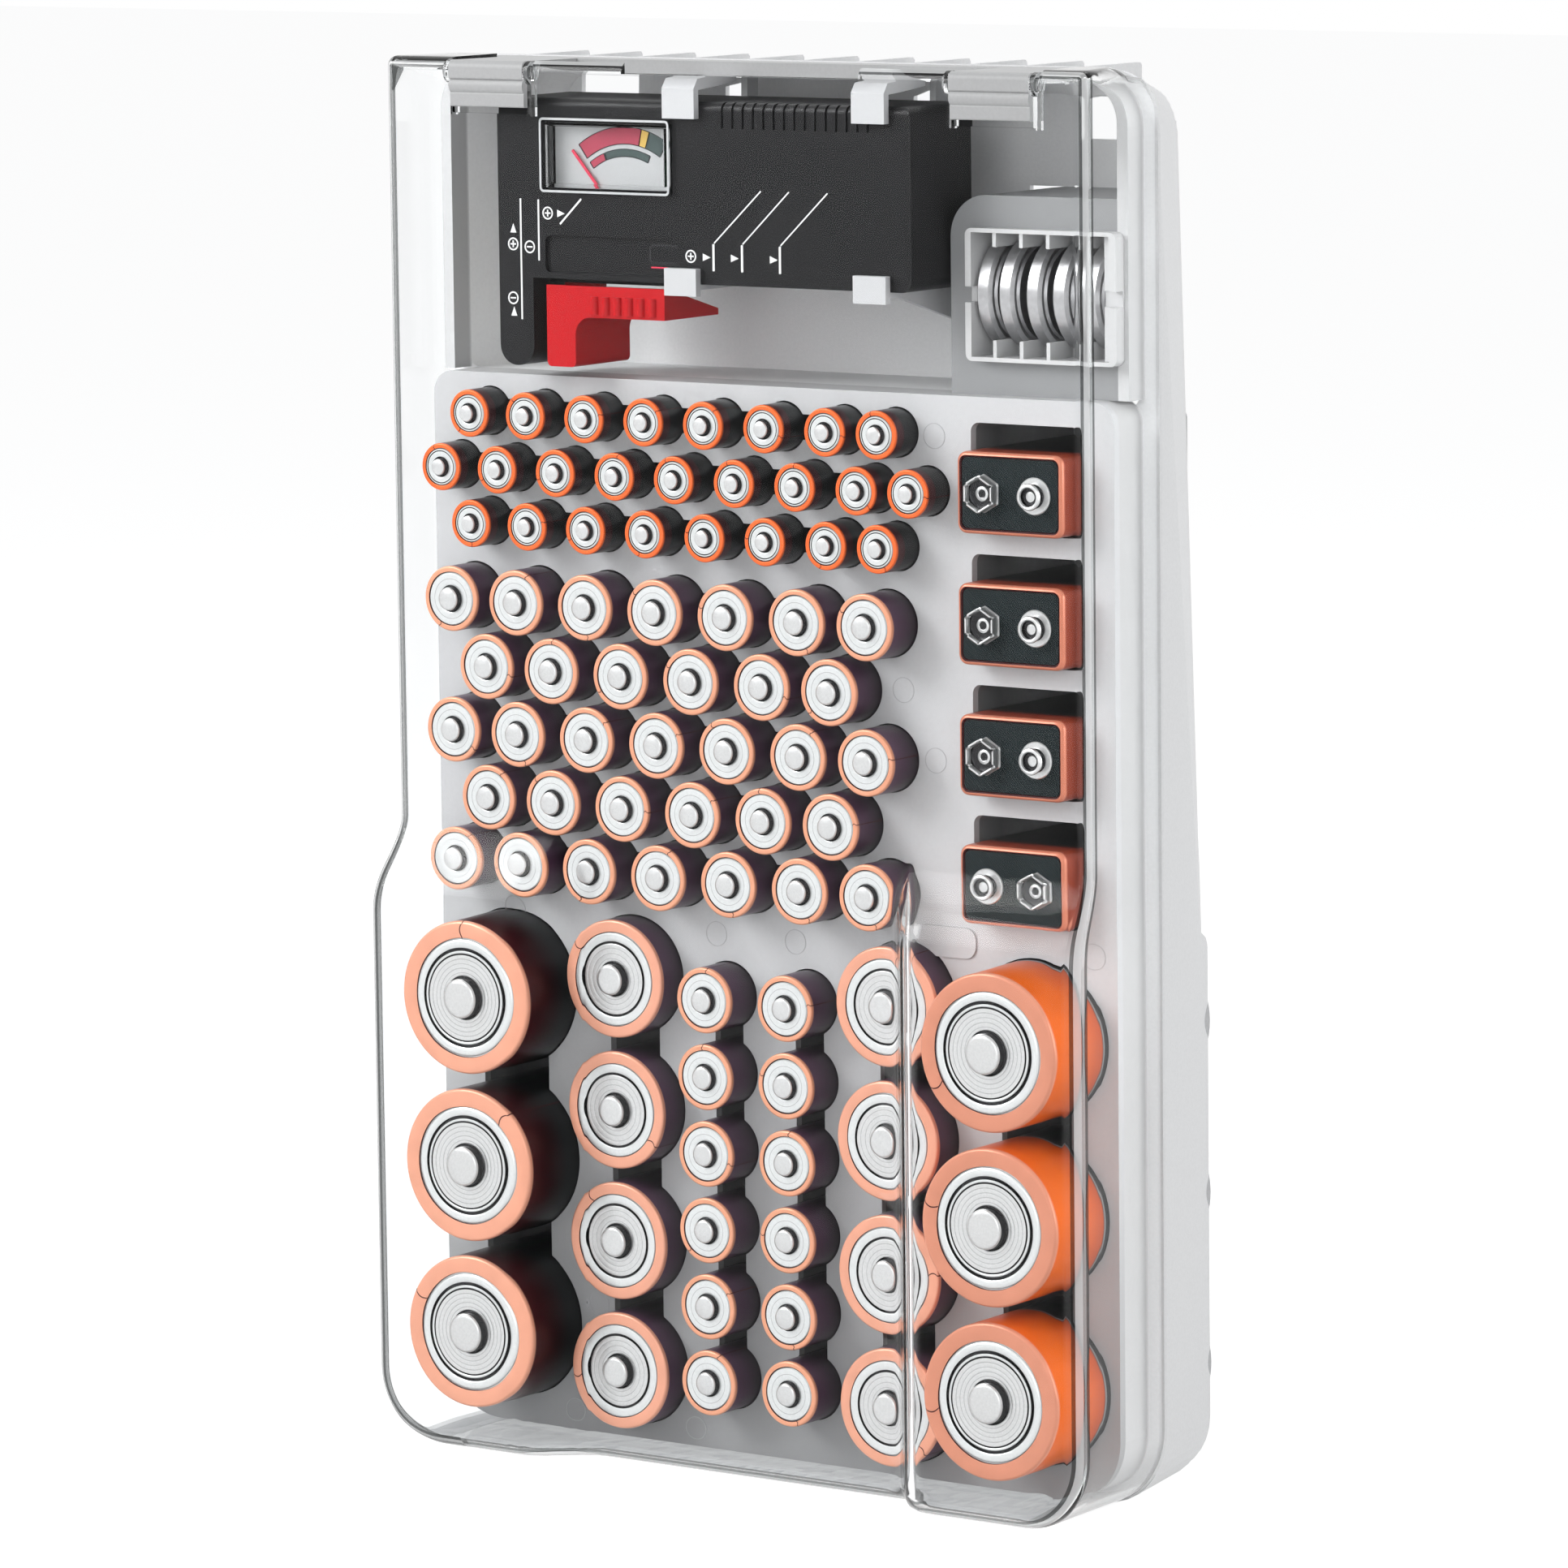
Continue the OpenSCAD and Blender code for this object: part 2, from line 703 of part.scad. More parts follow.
// One deep pod over the D cells. Its inner side slopes from ridge_x at the shallow front
// to ridge_front at its own front.
module cover_pod(inset, back, ridge_front) {
    slope = atan2(pod_front - cover_front, ridge_front - ridge_x);
    inner = ridge_x + inset * tan(slope / 2);
    hw = cover_low_hw - inset;
    front = -pod_front + inset;
    edge = pod_edge - inset;
    step = cover_low_hw - cover_up_hw;
    intersection() {
        along_y(front, back) {
            soft_rect(inner - 20, inset, hw, pod_low_z, 17 - inset, 0.5);
            polygon(concat([[inner, pod_low_z - 5]],
                [for (p = bend(0, pod_high_z, step, pod_high_z - pod_low_z, 6))
                    [hw - step - p[0], p[1]]],
                [[hw, pod_low_z - 5]]));
            polygon([[inner, pod_low_z - 5], [inner, pod_high_z], [hw - step, pod_high_z],
                [hw - step, pod_low_z - 5]]);
        }
        along_z(-1, pod_high_z + 1) polygon(concat(
            [[hw, back + 10], [inner, back + 10], [inner, -cover_front + inset]],
            round_pts(ridge_front + pod_edge * tan(slope / 2), front + edge, edge, 270 - slope, 270, 6),
            round_pts(hw - edge, front + edge, edge, 270, 360, 8)));
        along_x(0, hw) polygon(concat(
            [[back + 10, inset], [back + 10, pod_high_z]],
            bend(-cover_front + inset, pod_high_z, pod_front - cover_front, pod_high_z - pod_low_z, 8),
            round_pts(front + edge + 1, inset + edge + 1, edge + 1, 180, 270, 8)));
    }
}

module cover_solid(inset, back) {
    cover_shallow(inset, back);
    cover_pod(inset, back, right_ridge_front);
    mirror([1, 0, 0]) cover_pod(inset, back, left_ridge_front);
}

notch_low = 9;

// Opening in the cover's top edge that a hinge block stands in, with the ears beside it
module hinge_notch() {
    half = barrel_len / 2 + ear_gap + ear_t;
    block(-half, half, -cover_front - 1, 20, hinge_z - notch_low, cover_top + 5);
}

module hinge_ears() {
    for (side = [-1, 1]) scale([side, 1, 1]) {
        x0 = barrel_len / 2 + ear_gap;
        along_x(x0, x0 + ear_t) {
            translate([hinge_y, hinge_z]) circle(2.6);
            translate([-cover_front, hinge_z - notch_low - 0.5]) square([2.6, notch_low + 0.5]);
        }
        translate([x0 - 3, hinge_y, hinge_z]) rotate([0, 90, 0]) cylinder(r = boss_r, h = 3 + eps);
    }
}

module cover() {
    half = barrel_len / 2 + ear_gap + ear_t;
    color([0.85, 0.92, 0.95, 0.3]) place() {
        difference() {
            cover_solid(0, flange_y - rim_gap);
            cover_solid(clear_wall, flange_y + 1);
            at_hinges() hinge_notch();
            // Between the hinges only the front panel reaches the top, and it is lower
            // in the middle
            block(hinge_left_x - half, hinge_right_x + half, -cover_front + clear_wall, 20,
                hinge_z - 20, cover_top + 5);
            block(lip_left, lip_right, -cover_front - 1, 20, brow_z, cover_top + 5);
            // The shoulders stop short of the tray's land, so that the cover can swing
            block(-90.1, 90.1, land_y - 0.6, 20, hinge_z - 20, cover_top + 5);
        }
        at_hinges() hinge_ears();
    }
}

// ---------------------------------------------------------------- tester

// The tester's face is a long box with a lobe at its left foot
module tester_outline(inset) {
    soft_rect(tester_left + inset, tester_low + inset, tester_right - inset, tester_top - inset,
        2.5 - inset, 2.5 - inset);
    soft_rect(tester_left + inset, lobe_low + inset, lobe_right - inset, tester_top - 10,
        4.5 - inset, 2);
}

grip_count = 15;
grip_x0 = -3.2;
grip_pitch = 2.7;
grip_low = 294.8;

// Section of a grip groove, which follows the rounded top edge
module grip_section() {
    difference() {
        translate([tester_y - 1, grip_low]) square([5, tester_top + 1 - grip_low]);
        soft_rect(tester_y + 0.5, grip_low - 2, tester_y + 9, tester_top - 0.5, 0.5, shell_t - 0.5);
    }
}

// What is cut away to round the tester's top front edge
module top_edge_section() {
    difference() {
        translate([tester_y - 1, tester_top - shell_t]) square([shell_t + 1, shell_t + 1]);
        translate([tester_y + shell_t, tester_top - shell_t]) circle(shell_t);
    }
}

module tester_front() {
    color([0.16, 0.16, 0.17]) place() difference() {
        union() {
            difference() {
                along_y(tester_y, seam_y) tester_outline(0);
                along_y(tester_y + shell_t, seam_y + 1) tester_outline(shell_t);
            }
            for (p = post_at) translate([p[0], 2, p[1]]) rotate([90, 0, 0])
                cylinder(r = 2.6, h = 2 - tester_y - shell_t + 0.3);
        }
        for (p = post_at) translate([p[0], 3, p[1]]) rotate([90, 0, 0]) cylinder(r = 1.2, h = 7);
        block(window[0], window[2], tester_y - 1, tester_y + 3, window[1], window[3]);
        // Shallow tray in the face for the cell under test
        along_y(tester_y - 1, tester_y + 0.8)
            soft_rect(-50.9, tester_low + 1.3, -15.5, 270.6, 1.5, 1.5);
        // Grip grooves over the top edge
        for (k = [0 : grip_count - 1])
            along_x(grip_x0 + k * grip_pitch - 0.3, grip_x0 + k * grip_pitch + 0.3) grip_section();
        along_x(tester_left - 1, tester_right + 1) top_edge_section();
    }
}

module tester_back() {
    color([0.1, 0.1, 0.11]) place() difference() {
        union() {
            difference() {
                along_y(seam_y, tester_y + tester_t) tester_outline(0);
                along_y(seam_y - 1, tester_y + tester_t - shell_t) tester_outline(shell_t);
            }
            for (p = post_at) translate([p[0], tester_y + tester_t - shell_t + 0.3, p[1]])
                rotate([90, 0, 0]) cylinder(r = 2.6, h = tester_y + tester_t - shell_t + 0.3 - 2);
            // Ribs that carry the board
            for (x = [-42, 30]) block(x - 0.8, x + 0.8, 5.6, tester_y + tester_t - 1, 267, 289);
        }
        for (p = post_at) {
            translate([p[0], 20, p[1]]) rotate([90, 0, 0]) cylinder(r = 1.5, h = 19);
            translate([p[0], 20, p[1]]) rotate([90, 0, 0]) cylinder(r = 2.5, h = 20 - 12.6);
        }
        // Slot that guides the slider's tongue
        block(slider_left - 0.1, slider_left + tongue_len + 0.1 + slider_travel, -1.5, 1.5,
            tester_low - 1, tester_low + shell_t + 0.1);
    }
    // Rail in front of the slot
    color([0.1, 0.1, 0.11]) place()
        block(lobe_right - 0.5, rail_right, seam_y, seam_y + 1.3, slider_z + 0.25, tester_low + 0.5);
}

module tester_screws() {
    color("silver") place() for (p = post_at) {
        translate([p[0], 13.8, p[1]]) rotate([90, 0, 0]) cylinder(r = 2.3, h = 1.2);
        translate([p[0], 13.2, p[1]]) rotate([90, 0, 0]) cylinder(r = 1.1, h = 16);
    }
}

module meter_window() {
    color([0.9, 0.95, 1, 0.4]) place() difference() {
        union() {
            along_y(tester_y - 1.2, tester_y)
                soft_rect(window[0] - 1, window[1] - 1, window[2] + 1, window[3] + 1, 0.6, 0.6);
            block(window[0] + 0.1, window[2] - 0.1, tester_y, tester_y + 1.6,
                window[1] + 0.1, window[3] - 0.1);
        }
        block(window[0] + 0.9, window[2] - 0.9, tester_y - 0.4, tester_y + 3,
            window[1] + 0.9, window[3] - 0.9);
    }
}

dial_y = -5.6;

module meter_dial() {
    color("white") place() difference() {
        block(window[0] + 0.2, window[2] - 0.2, dial_y, dial_y + 0.6, needle_z - 4, window[3] - 0.9);
        translate([needle_x, 0, needle_z]) rotate([90, 0, 0]) cylinder(r = 1, h = 20, center = true);
    }
}

// The needle's shaft turns in the movement behind the dial
module meter_needle() {
    color("crimson") place() translate([needle_x, 0, needle_z]) {
        rotate([90, 0, 0]) translate([0, 0, 3.4]) cylinder(r = 0.6, h = 3.2);
        translate([0, dial_y - 0.4, 0]) rotate([90, 0, 0]) cylinder(r = 1.6, h = 0.7);
        rotate([0, -needle_rest, 0]) block(-0.3, 0.3, dial_y - 1.0, dial_y - 0.6, -3.5, needle_len);
    }
}

module meter_movement() {
    color("dimgray") place() difference() {
        union() {
            translate([needle_x, 1, needle_z]) rotate([90, 0, 0]) cylinder(r = 7, h = 6);
            block(needle_x - 8, needle_x + 8, 1, 4, needle_z - 7, needle_z + 7);
        }
        translate([needle_x, -3.2, needle_z]) rotate([90, 0, 0]) cylinder(r = 0.65, h = 3);
    }
}

module tester_board() {
    color("darkgreen") place() block(-46, 34, 4, 5.6, 267, 289);
}

module load_resistor() {
    color("tan") place() for (x = [-6, 8]) translate([x, 7.6, 278]) rotate([0, 90, 0])
        cylinder(r = 2, h = 9);
}

slider_left = -51.5;
slider_travel = 24;
slider_front = -8;
slider_back = 12;
stem_right = -43.8;
arm_right = -19.8;
arm_low = 252.9;
tongue_len = 9.5;
rail_right = -18.6;
thumb_count = 6;
thumb_x0 = -38.6;
thumb_pitch = 3.1;

// L-shaped slider: a wedge-shaped arm under the tester and a stem that meets the cell
// under test
module tester_slider() {
    color("red") place() {
        along_x(slider_left, arm_right) polygon([[slider_front, arm_low], [slider_back, arm_low],
            [slider_back, arm_low + 1.4], [slider_front + 1.2, slider_z], [slider_front, slider_z]]);
        along_y(slider_front, slider_back) {
            soft_rect(slider_left, lobe_low, stem_right, arm_low + 1.4, 1.2, 0.2);
            // Fillet in the inner corner
            difference() {
                translate([stem_right - 0.1, arm_low - 4]) square([4, 4.1]);
                translate([stem_right + 4, arm_low - 4]) circle(4);
            }
        }
        // Thumb ridges
        for (k = [0 : thumb_count - 1])
            translate([thumb_x0 + k * thumb_pitch, slider_front + 0.3, arm_low + 0.7])
                cylinder(r = 1.1, h = 3.9);
        // Tongue with its head inside the tester
        block(slider_left, slider_left + tongue_len, -1.2, 1.2, arm_low + 1, slider_z + 3.7);
        block(slider_left, slider_left + tongue_len, -2.3, 2.3, slider_z + 3.6, slider_z + 5.2);
    }
}

module slider_contact() {
    color("gold") place() block(slider_left - 0.5, slider_left, -4, 3, 244.5, 256);
}

module cell_contact() {
    color("gold") place() block(lobe_right, lobe_right + 0.5, -2.8, 4, 244.5, 256);
}

module nine_volt_contacts() {
    color("gold") place() for (z = [252, 272])
        block(tester_left - 0.5, tester_left, -2, 6, z, z + 6);
}

// ---------------------------------------------------------------- cells

sleeve_t = 0.25;

// Steel can with a nub, drawn tail down and turned to face forward.
// The profile steps in at the crimp and again round the nub.
module can(d, length, nub_d, nub_h) {
    r = d / 2 - sleeve_t;
    h = length - nub_h;
    lip = d / 2 * 0.8;
    n = nub_d / 2;
    rotate([90, 0, 0]) rotate_extrude() polygon([[0, 0], [r - 1, 0], [r, 1], [r, h - sleeve_t],
        [lip, h - sleeve_t], [lip - 0.3, h - sleeve_t - 0.5], [lip * 0.9, h - sleeve_t - 0.5],
        [lip * 0.86, h], [n + 0.5, h], [n, h + 0.3], [n, length - 0.3], [n - 0.3, length], [0, length]]);
}

// Printed sleeve that folds over the can's front edge
module sleeve(d, length, nub_h) {
    r = d / 2;
    h = length - nub_h;
    rotate([90, 0, 0]) rotate_extrude() polygon([[r - sleeve_t, 1.2], [r, 1.2], [r, h - 0.4],
        [r - 0.4, h], [r * 0.8, h], [r * 0.8, h - sleeve_t], [r - sleeve_t, h - sleeve_t]]);
}

module at_aa_grid() {
    for (row = [0 : aa_rows - 1], x = aa_row_xs(row))
        translate([x, cell_back(aa_len, aa_proud), aa_row_z(row)]) children();
}

module at_aa_columns() {
    for (side = [-1, 1], k = [0 : mid_count - 1])
        translate([side * mid_x, cell_back(aa_len, aa_proud), mid_z0 - k * mid_pitch]) children();
}

module at_aaa() {
    for (row = [0 : aaa_rows - 1], x = aaa_row_xs(row))
        translate([x, cell_back(aaa_len, aaa_proud), aaa_row_z(row)]) children();
}

module at_c() {
    for (side = [-1, 1], k = [0 : c_count - 1])
        translate([side * c_x, cell_back(c_len, c_proud), c_z0 - k * c_pitch]) children();
}

module at_d() {
    for (side = [-1, 1], k = [0 : d_count - 1])
        translate([side * d_x, cell_back(d_len, d_proud), d_z0 - k * d_pitch]) children();
}

aa_nub = [5.3, 1.4];
aaa_nub = [3.8, 1.2];
c_nub = [7.2, 2];
d_nub = [9.4, 2.2];

module aa_cans() {
    color("silver") place() {
        at_aa_grid() can(aa_d, aa_len, aa_nub[0], aa_nub[1]);
        at_aa_columns() can(aa_d, aa_len, aa_nub[0], aa_nub[1]);
    }
}

module aa_sleeves() {
    color("sienna") place() {
        at_aa_grid() sleeve(aa_d, aa_len, aa_nub[1]);
        at_aa_columns() sleeve(aa_d, aa_len, aa_nub[1]);
    }
}

module aaa_cans() {
    color("silver") place() at_aaa() can(aaa_d, aaa_len, aaa_nub[0], aaa_nub[1]);
}

module aaa_sleeves() {
    color("sienna") place() at_aaa() sleeve(aaa_d, aaa_len, aaa_nub[1]);
}

module c_cans() {
    color("silver") place() at_c() can(c_d, c_len, c_nub[0], c_nub[1]);
}

module c_sleeves() {
    color("sienna") place() at_c() sleeve(c_d, c_len, c_nub[1]);
}

module d_cans() {
    color("silver") place() at_d() can(d_d, d_len, d_nub[0], d_nub[1]);
}

module d_sleeves() {
    color("sienna") place() at_d() sleeve(d_d, d_len, d_nub[1]);
}

nv_body = nv_len - 2.6;
nv_snap_x = 6.35;

module at_nv() {
    for (k = [0 : nv_count - 1])
        translate([nv_x, cell_back(nv_len, nv_proud), nv_z0 - k * nv_pitch]) children();
}

// Steel case with a shallow rim round its top plate
module nine_volt_cases() {
    color("sienna") place() at_nv() difference() {
        along_y(-nv_body, 0) soft_rect(-nv_w / 2, -nv_t / 2, nv_w / 2, nv_t / 2, 2.2, 2.2);
        along_y(-nv_body - 1, -nv_body + 1.2)
            soft_rect(-nv_w / 2 + 1, -nv_t / 2 + 1, nv_w / 2 - 1, nv_t / 2 - 1, 1.2, 1.2);
    }
}

module nine_volt_tops() {
    color([0.12, 0.12, 0.13]) place() at_nv() along_y(-nv_body + 0.3, -nv_body + 1.2)
        soft_rect(-nv_w / 2 + 1, -nv_t / 2 + 1, nv_w / 2 - 1, nv_t / 2 - 1, 1.2, 1.2);
}

// The last battery stands the other way up, so its two terminals change places
function snap_side(k) = k == nv_count - 1 ? -1 : 1;

// Hexagonal socket terminal
module nine_volt_sockets() {
    color("silver") place() for (k = [0 : nv_count - 1])
        translate([nv_x - snap_side(k) * nv_snap_x, cell_back(nv_len, nv_proud) - nv_body + 0.3,
            nv_z0 - k * nv_pitch]) rotate([90, 0, 0]) difference() {
                cylinder(r = 4.3, h = 2.7, $fn = 6);
                translate([0, 0, 0.6]) cylinder(r = 2.9, h = 3);
            }
}

// Round stud terminal
module nine_volt_studs() {
    color("silver") place() for (k = [0 : nv_count - 1])
        translate([nv_x + snap_side(k) * nv_snap_x, cell_back(nv_len, nv_proud) - nv_body + 0.3,
            nv_z0 - k * nv_pitch]) rotate([90, 0, 0]) {
                cylinder(r = 4, h = 0.6);
                translate([0, 0, 0.6]) cylinder(r = 2.8, h = 2.3);
            }
}

module at_coins() {
    for (x = coin_xs) translate([x, coin_y, coin_z]) rotate([0, 90, 0]) children();
}

module coin_cans() {
    r = coin_d / 2;
    color("silver") place() at_coins() rotate_extrude() polygon([[0, -coin_t / 2],
        [r - 0.5, -coin_t / 2], [r, -coin_t / 2 + 0.5], [r, coin_t / 2 - 1.2],
        [r - 0.9, coin_t / 2 - 0.6], [0, coin_t / 2 - 0.6]]);
}

module coin_caps() {
    r = coin_d / 2 - 1.7;
    color("lightgray") place() at_coins() rotate_extrude() polygon([[0, coin_t / 2 - 0.6],
        [r, coin_t / 2 - 0.6], [r - 0.3, coin_t / 2], [0, coin_t / 2]]);
}

// ---------------------------------------------------------------- nodes

tray_shell();
tray_deck();
aaa_pockets();
aa_pockets();
aa_column_pockets();
c_pockets();
d_pockets();
nine_volt_pockets();
tester_bay();
top_fins();
hinge_blocks();
tester_clips();
coin_pedestal();
coin_rack();
cover();
tester_front();
tester_back();
tester_screws();
meter_window();
meter_dial();
meter_needle();
meter_movement();
tester_board();
load_resistor();
tester_slider();
slider_contact();
cell_contact();
nine_volt_contacts();
aaa_cans();
aaa_sleeves();
aa_cans();
aa_sleeves();
c_cans();
c_sleeves();
d_cans();
d_sleeves();
nine_volt_cases();
nine_volt_tops();
nine_volt_sockets();
nine_volt_studs();
coin_cans();
coin_caps();
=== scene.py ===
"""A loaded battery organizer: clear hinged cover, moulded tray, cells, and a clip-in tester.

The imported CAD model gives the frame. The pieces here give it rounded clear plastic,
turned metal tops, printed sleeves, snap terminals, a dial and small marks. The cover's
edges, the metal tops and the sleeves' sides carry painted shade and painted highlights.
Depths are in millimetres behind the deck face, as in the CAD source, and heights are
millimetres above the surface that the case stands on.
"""
import math
import random

import bmesh
import bpy
from mathutils import Matrix, Vector
from mathutils.geometry import delaunay_2d_cdt


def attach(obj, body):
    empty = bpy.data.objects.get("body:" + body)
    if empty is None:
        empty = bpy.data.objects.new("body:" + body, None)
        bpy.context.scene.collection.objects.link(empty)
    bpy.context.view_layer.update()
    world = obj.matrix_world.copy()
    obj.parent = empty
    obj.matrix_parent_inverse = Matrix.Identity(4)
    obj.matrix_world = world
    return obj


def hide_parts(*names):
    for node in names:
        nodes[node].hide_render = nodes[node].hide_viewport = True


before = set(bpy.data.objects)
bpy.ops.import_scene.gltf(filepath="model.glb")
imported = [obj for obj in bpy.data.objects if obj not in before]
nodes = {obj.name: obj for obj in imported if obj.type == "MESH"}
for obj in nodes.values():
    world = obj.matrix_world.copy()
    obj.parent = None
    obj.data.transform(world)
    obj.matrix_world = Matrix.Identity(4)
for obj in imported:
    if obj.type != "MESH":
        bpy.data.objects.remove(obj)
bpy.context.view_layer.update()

MM = 0.001
# Depth behind the deck face, in mm, of the frame's origin
MID_DEPTH = 8.5


def world_depth(depth):
    """The frame's Y, in metres, of a depth in millimetres behind the deck face."""
    return (depth - MID_DEPTH) * MM


# ---------------------------------------------------------------- camera and light

CAMERA_AT = Vector((0.99549, -1.42101, 0.39229))
CAMERA_VIEW = Vector((-0.56898, 0.81076, -0.13760))
CAMERA_UP = Vector((-0.06952, 0.11931, 0.99042))
CAMERA_LENS = 184.4
FLOOR_SIZE = 12.0
# Strength of the world on the object, and of the white and the shaded part that the floor shows
AMBIENT = 0.20
FLOOR_GLOW = 0.90
FLOOR_SHADE = 0.35
FLOOR_COLOUR = 0.8
# Lamps as (name, place, aim, side, watts), in metres
LAMPS = [("key", (-0.72, -0.75, 0.82), (0, 0, 0.17), 0.6, 8.4),
         ("fill", (0.6, -1.5, 0.5), (0, 0, 0.15), 0.8, 3.4),
         ("side", (1.5, 0.45, 0.5), (0, 0, 0.16), 0.8, 9.5),
         ("top", (-0.2, 0.55, 1.5), (0, 0, 0.2), 1.0, 6)]


def add_camera():
    data = bpy.data.cameras.new("camera")
    data.lens = CAMERA_LENS
    data.sensor_width = 36
    data.clip_end = 50
    camera = bpy.data.objects.new("camera", data)
    bpy.context.collection.objects.link(camera)
    right = CAMERA_VIEW.cross(CAMERA_UP).normalized()
    up = right.cross(CAMERA_VIEW).normalized()
    turn = Matrix((right, up, -CAMERA_VIEW.normalized())).transposed()
    camera.matrix_world = Matrix.Translation(CAMERA_AT) @ turn.to_4x4()
    bpy.context.scene.camera = camera


def add_lamp(name, place, aim, side, watts):
    data = bpy.data.lights.new(name, "AREA")
    data.shape = "RECTANGLE"
    data.size = data.size_y = side
    data.energy = watts
    lamp = bpy.data.objects.new(name, data)
    bpy.context.collection.objects.link(lamp)
    lamp.location = place
    lamp.rotation_euler = (Vector(aim) - Vector(place)).to_track_quat("-Z", "Y").to_euler()


def seen_directly(tree):
    """A socket that is 1 for camera, glossy and transmission rays."""
    path = tree.nodes.new("ShaderNodeLightPath")
    first = tree.nodes.new("ShaderNodeMath")
    first.operation = "MAXIMUM"
    second = tree.nodes.new("ShaderNodeMath")
    second.operation = "MAXIMUM"
    tree.links.new(path.outputs["Is Camera Ray"], first.inputs[0])
    tree.links.new(path.outputs["Is Glossy Ray"], first.inputs[1])
    tree.links.new(first.outputs[0], second.inputs[0])
    tree.links.new(path.outputs["Is Transmission Ray"], second.inputs[1])
    return second.outputs[0]


def add_world():
    world = bpy.data.worlds.new("studio")
    bpy.context.scene.world = world
    world.use_nodes = True
    tree = world.node_tree
    tree.nodes.clear()
    out = tree.nodes.new("ShaderNodeOutputWorld")
    mix = tree.nodes.new("ShaderNodeMixShader")
    lit = tree.nodes.new("ShaderNodeBackground")
    lit.inputs["Color"].default_value = (0.95, 0.97, 1, 1)
    lit.inputs["Strength"].default_value = AMBIENT
    shown = tree.nodes.new("ShaderNodeBackground")
    shown.inputs["Color"].default_value = (1, 1, 1, 1)
    shown.inputs["Strength"].default_value = 1
    tree.links.new(seen_directly(tree), mix.inputs[0])
    tree.links.new(lit.outputs[0], mix.inputs[1])
    tree.links.new(shown.outputs[0], mix.inputs[2])
    tree.links.new(mix.outputs[0], out.inputs[0])


def add_floor():
    bpy.ops.mesh.primitive_plane_add(size=FLOOR_SIZE)
    floor = bpy.context.object
    floor.name = "floor"
    mat = bpy.data.materials.new("floor")
    mat.use_nodes = True
    tree = mat.node_tree
    tree.nodes.clear()
    out = tree.nodes.new("ShaderNodeOutputMaterial")
    mix = tree.nodes.new("ShaderNodeMixShader")
    plain = tree.nodes.new("ShaderNodeBsdfDiffuse")
    plain.inputs["Color"].default_value = (FLOOR_COLOUR,) * 3 + (1,)
    glow = tree.nodes.new("ShaderNodeEmission")
    glow.inputs["Strength"].default_value = FLOOR_GLOW
    both = tree.nodes.new("ShaderNodeAddShader")
    shade = tree.nodes.new("ShaderNodeBsdfDiffuse")
    shade.inputs["Color"].default_value = (FLOOR_SHADE,) * 3 + (1,)
    tree.links.new(glow.outputs[0], both.inputs[0])
    tree.links.new(shade.outputs[0], both.inputs[1])
    tree.links.new(seen_directly(tree), mix.inputs[0])
    tree.links.new(plain.outputs[0], mix.inputs[1])
    tree.links.new(both.outputs[0], mix.inputs[2])
    tree.links.new(mix.outputs[0], out.inputs[0])
    floor.data.materials.append(mat)


# ---------------------------------------------------------------- materials

def new_material(name):
    mat = bpy.data.materials.new(name)
    mat.use_nodes = True
    return mat, mat.node_tree, mat.node_tree.nodes["Principled BSDF"]


def noise(tree, scale):
    coord = tree.nodes.new("ShaderNodeTexCoord")
    tex = tree.nodes.new("ShaderNodeTexNoise")
    tex.inputs["Scale"].default_value = scale
    tex.inputs["Detail"].default_value = 2
    tree.links.new(coord.outputs["Object"], tex.inputs["Vector"])
    return tex.outputs["Fac"]


def ramp(tree, value, stops):
    """A colour ramp over stops of (position, colour)."""
    node = tree.nodes.new("ShaderNodeValToRGB")
    band = node.color_ramp
    for k, (place, colour) in enumerate(stops):
        stop = band.elements[k] if k < 2 else band.elements.new(place)
        stop.position = place
        stop.color = (*colour, 1)
    tree.links.new(value, node.inputs["Fac"])
    return node.outputs["Color"]


def add_bump(tree, shader, height, strength, distance=0.0002):
    lift = tree.nodes.new("ShaderNodeBump")
    lift.inputs["Strength"].default_value = strength
    lift.inputs["Distance"].default_value = distance
    tree.links.new(height, lift.inputs["Height"])
    tree.links.new(lift.outputs["Normal"], shader.inputs["Normal"])


def faded(tree, tone, vector, axis, span):
    """A colour scaled from one share to another along an axis of a vector; it paints light and shade."""
    split = tree.nodes.new("ShaderNodeSeparateXYZ")
    tree.links.new(vector, split.inputs[0])
    share = tree.nodes.new("ShaderNodeMapRange")
    for socket, value in zip(("From Min", "From Max", "To Min", "To Max"), span):
        share.inputs[socket].default_value = value
    tree.links.new(split.outputs[axis], share.inputs["Value"])
    scaled = tree.nodes.new("ShaderNodeVectorMath")
    scaled.operation = "SCALE"
    tree.links.new(tone, scaled.inputs[0])
    tree.links.new(share.outputs["Result"], scaled.inputs["Scale"])
    return scaled.outputs["Vector"]


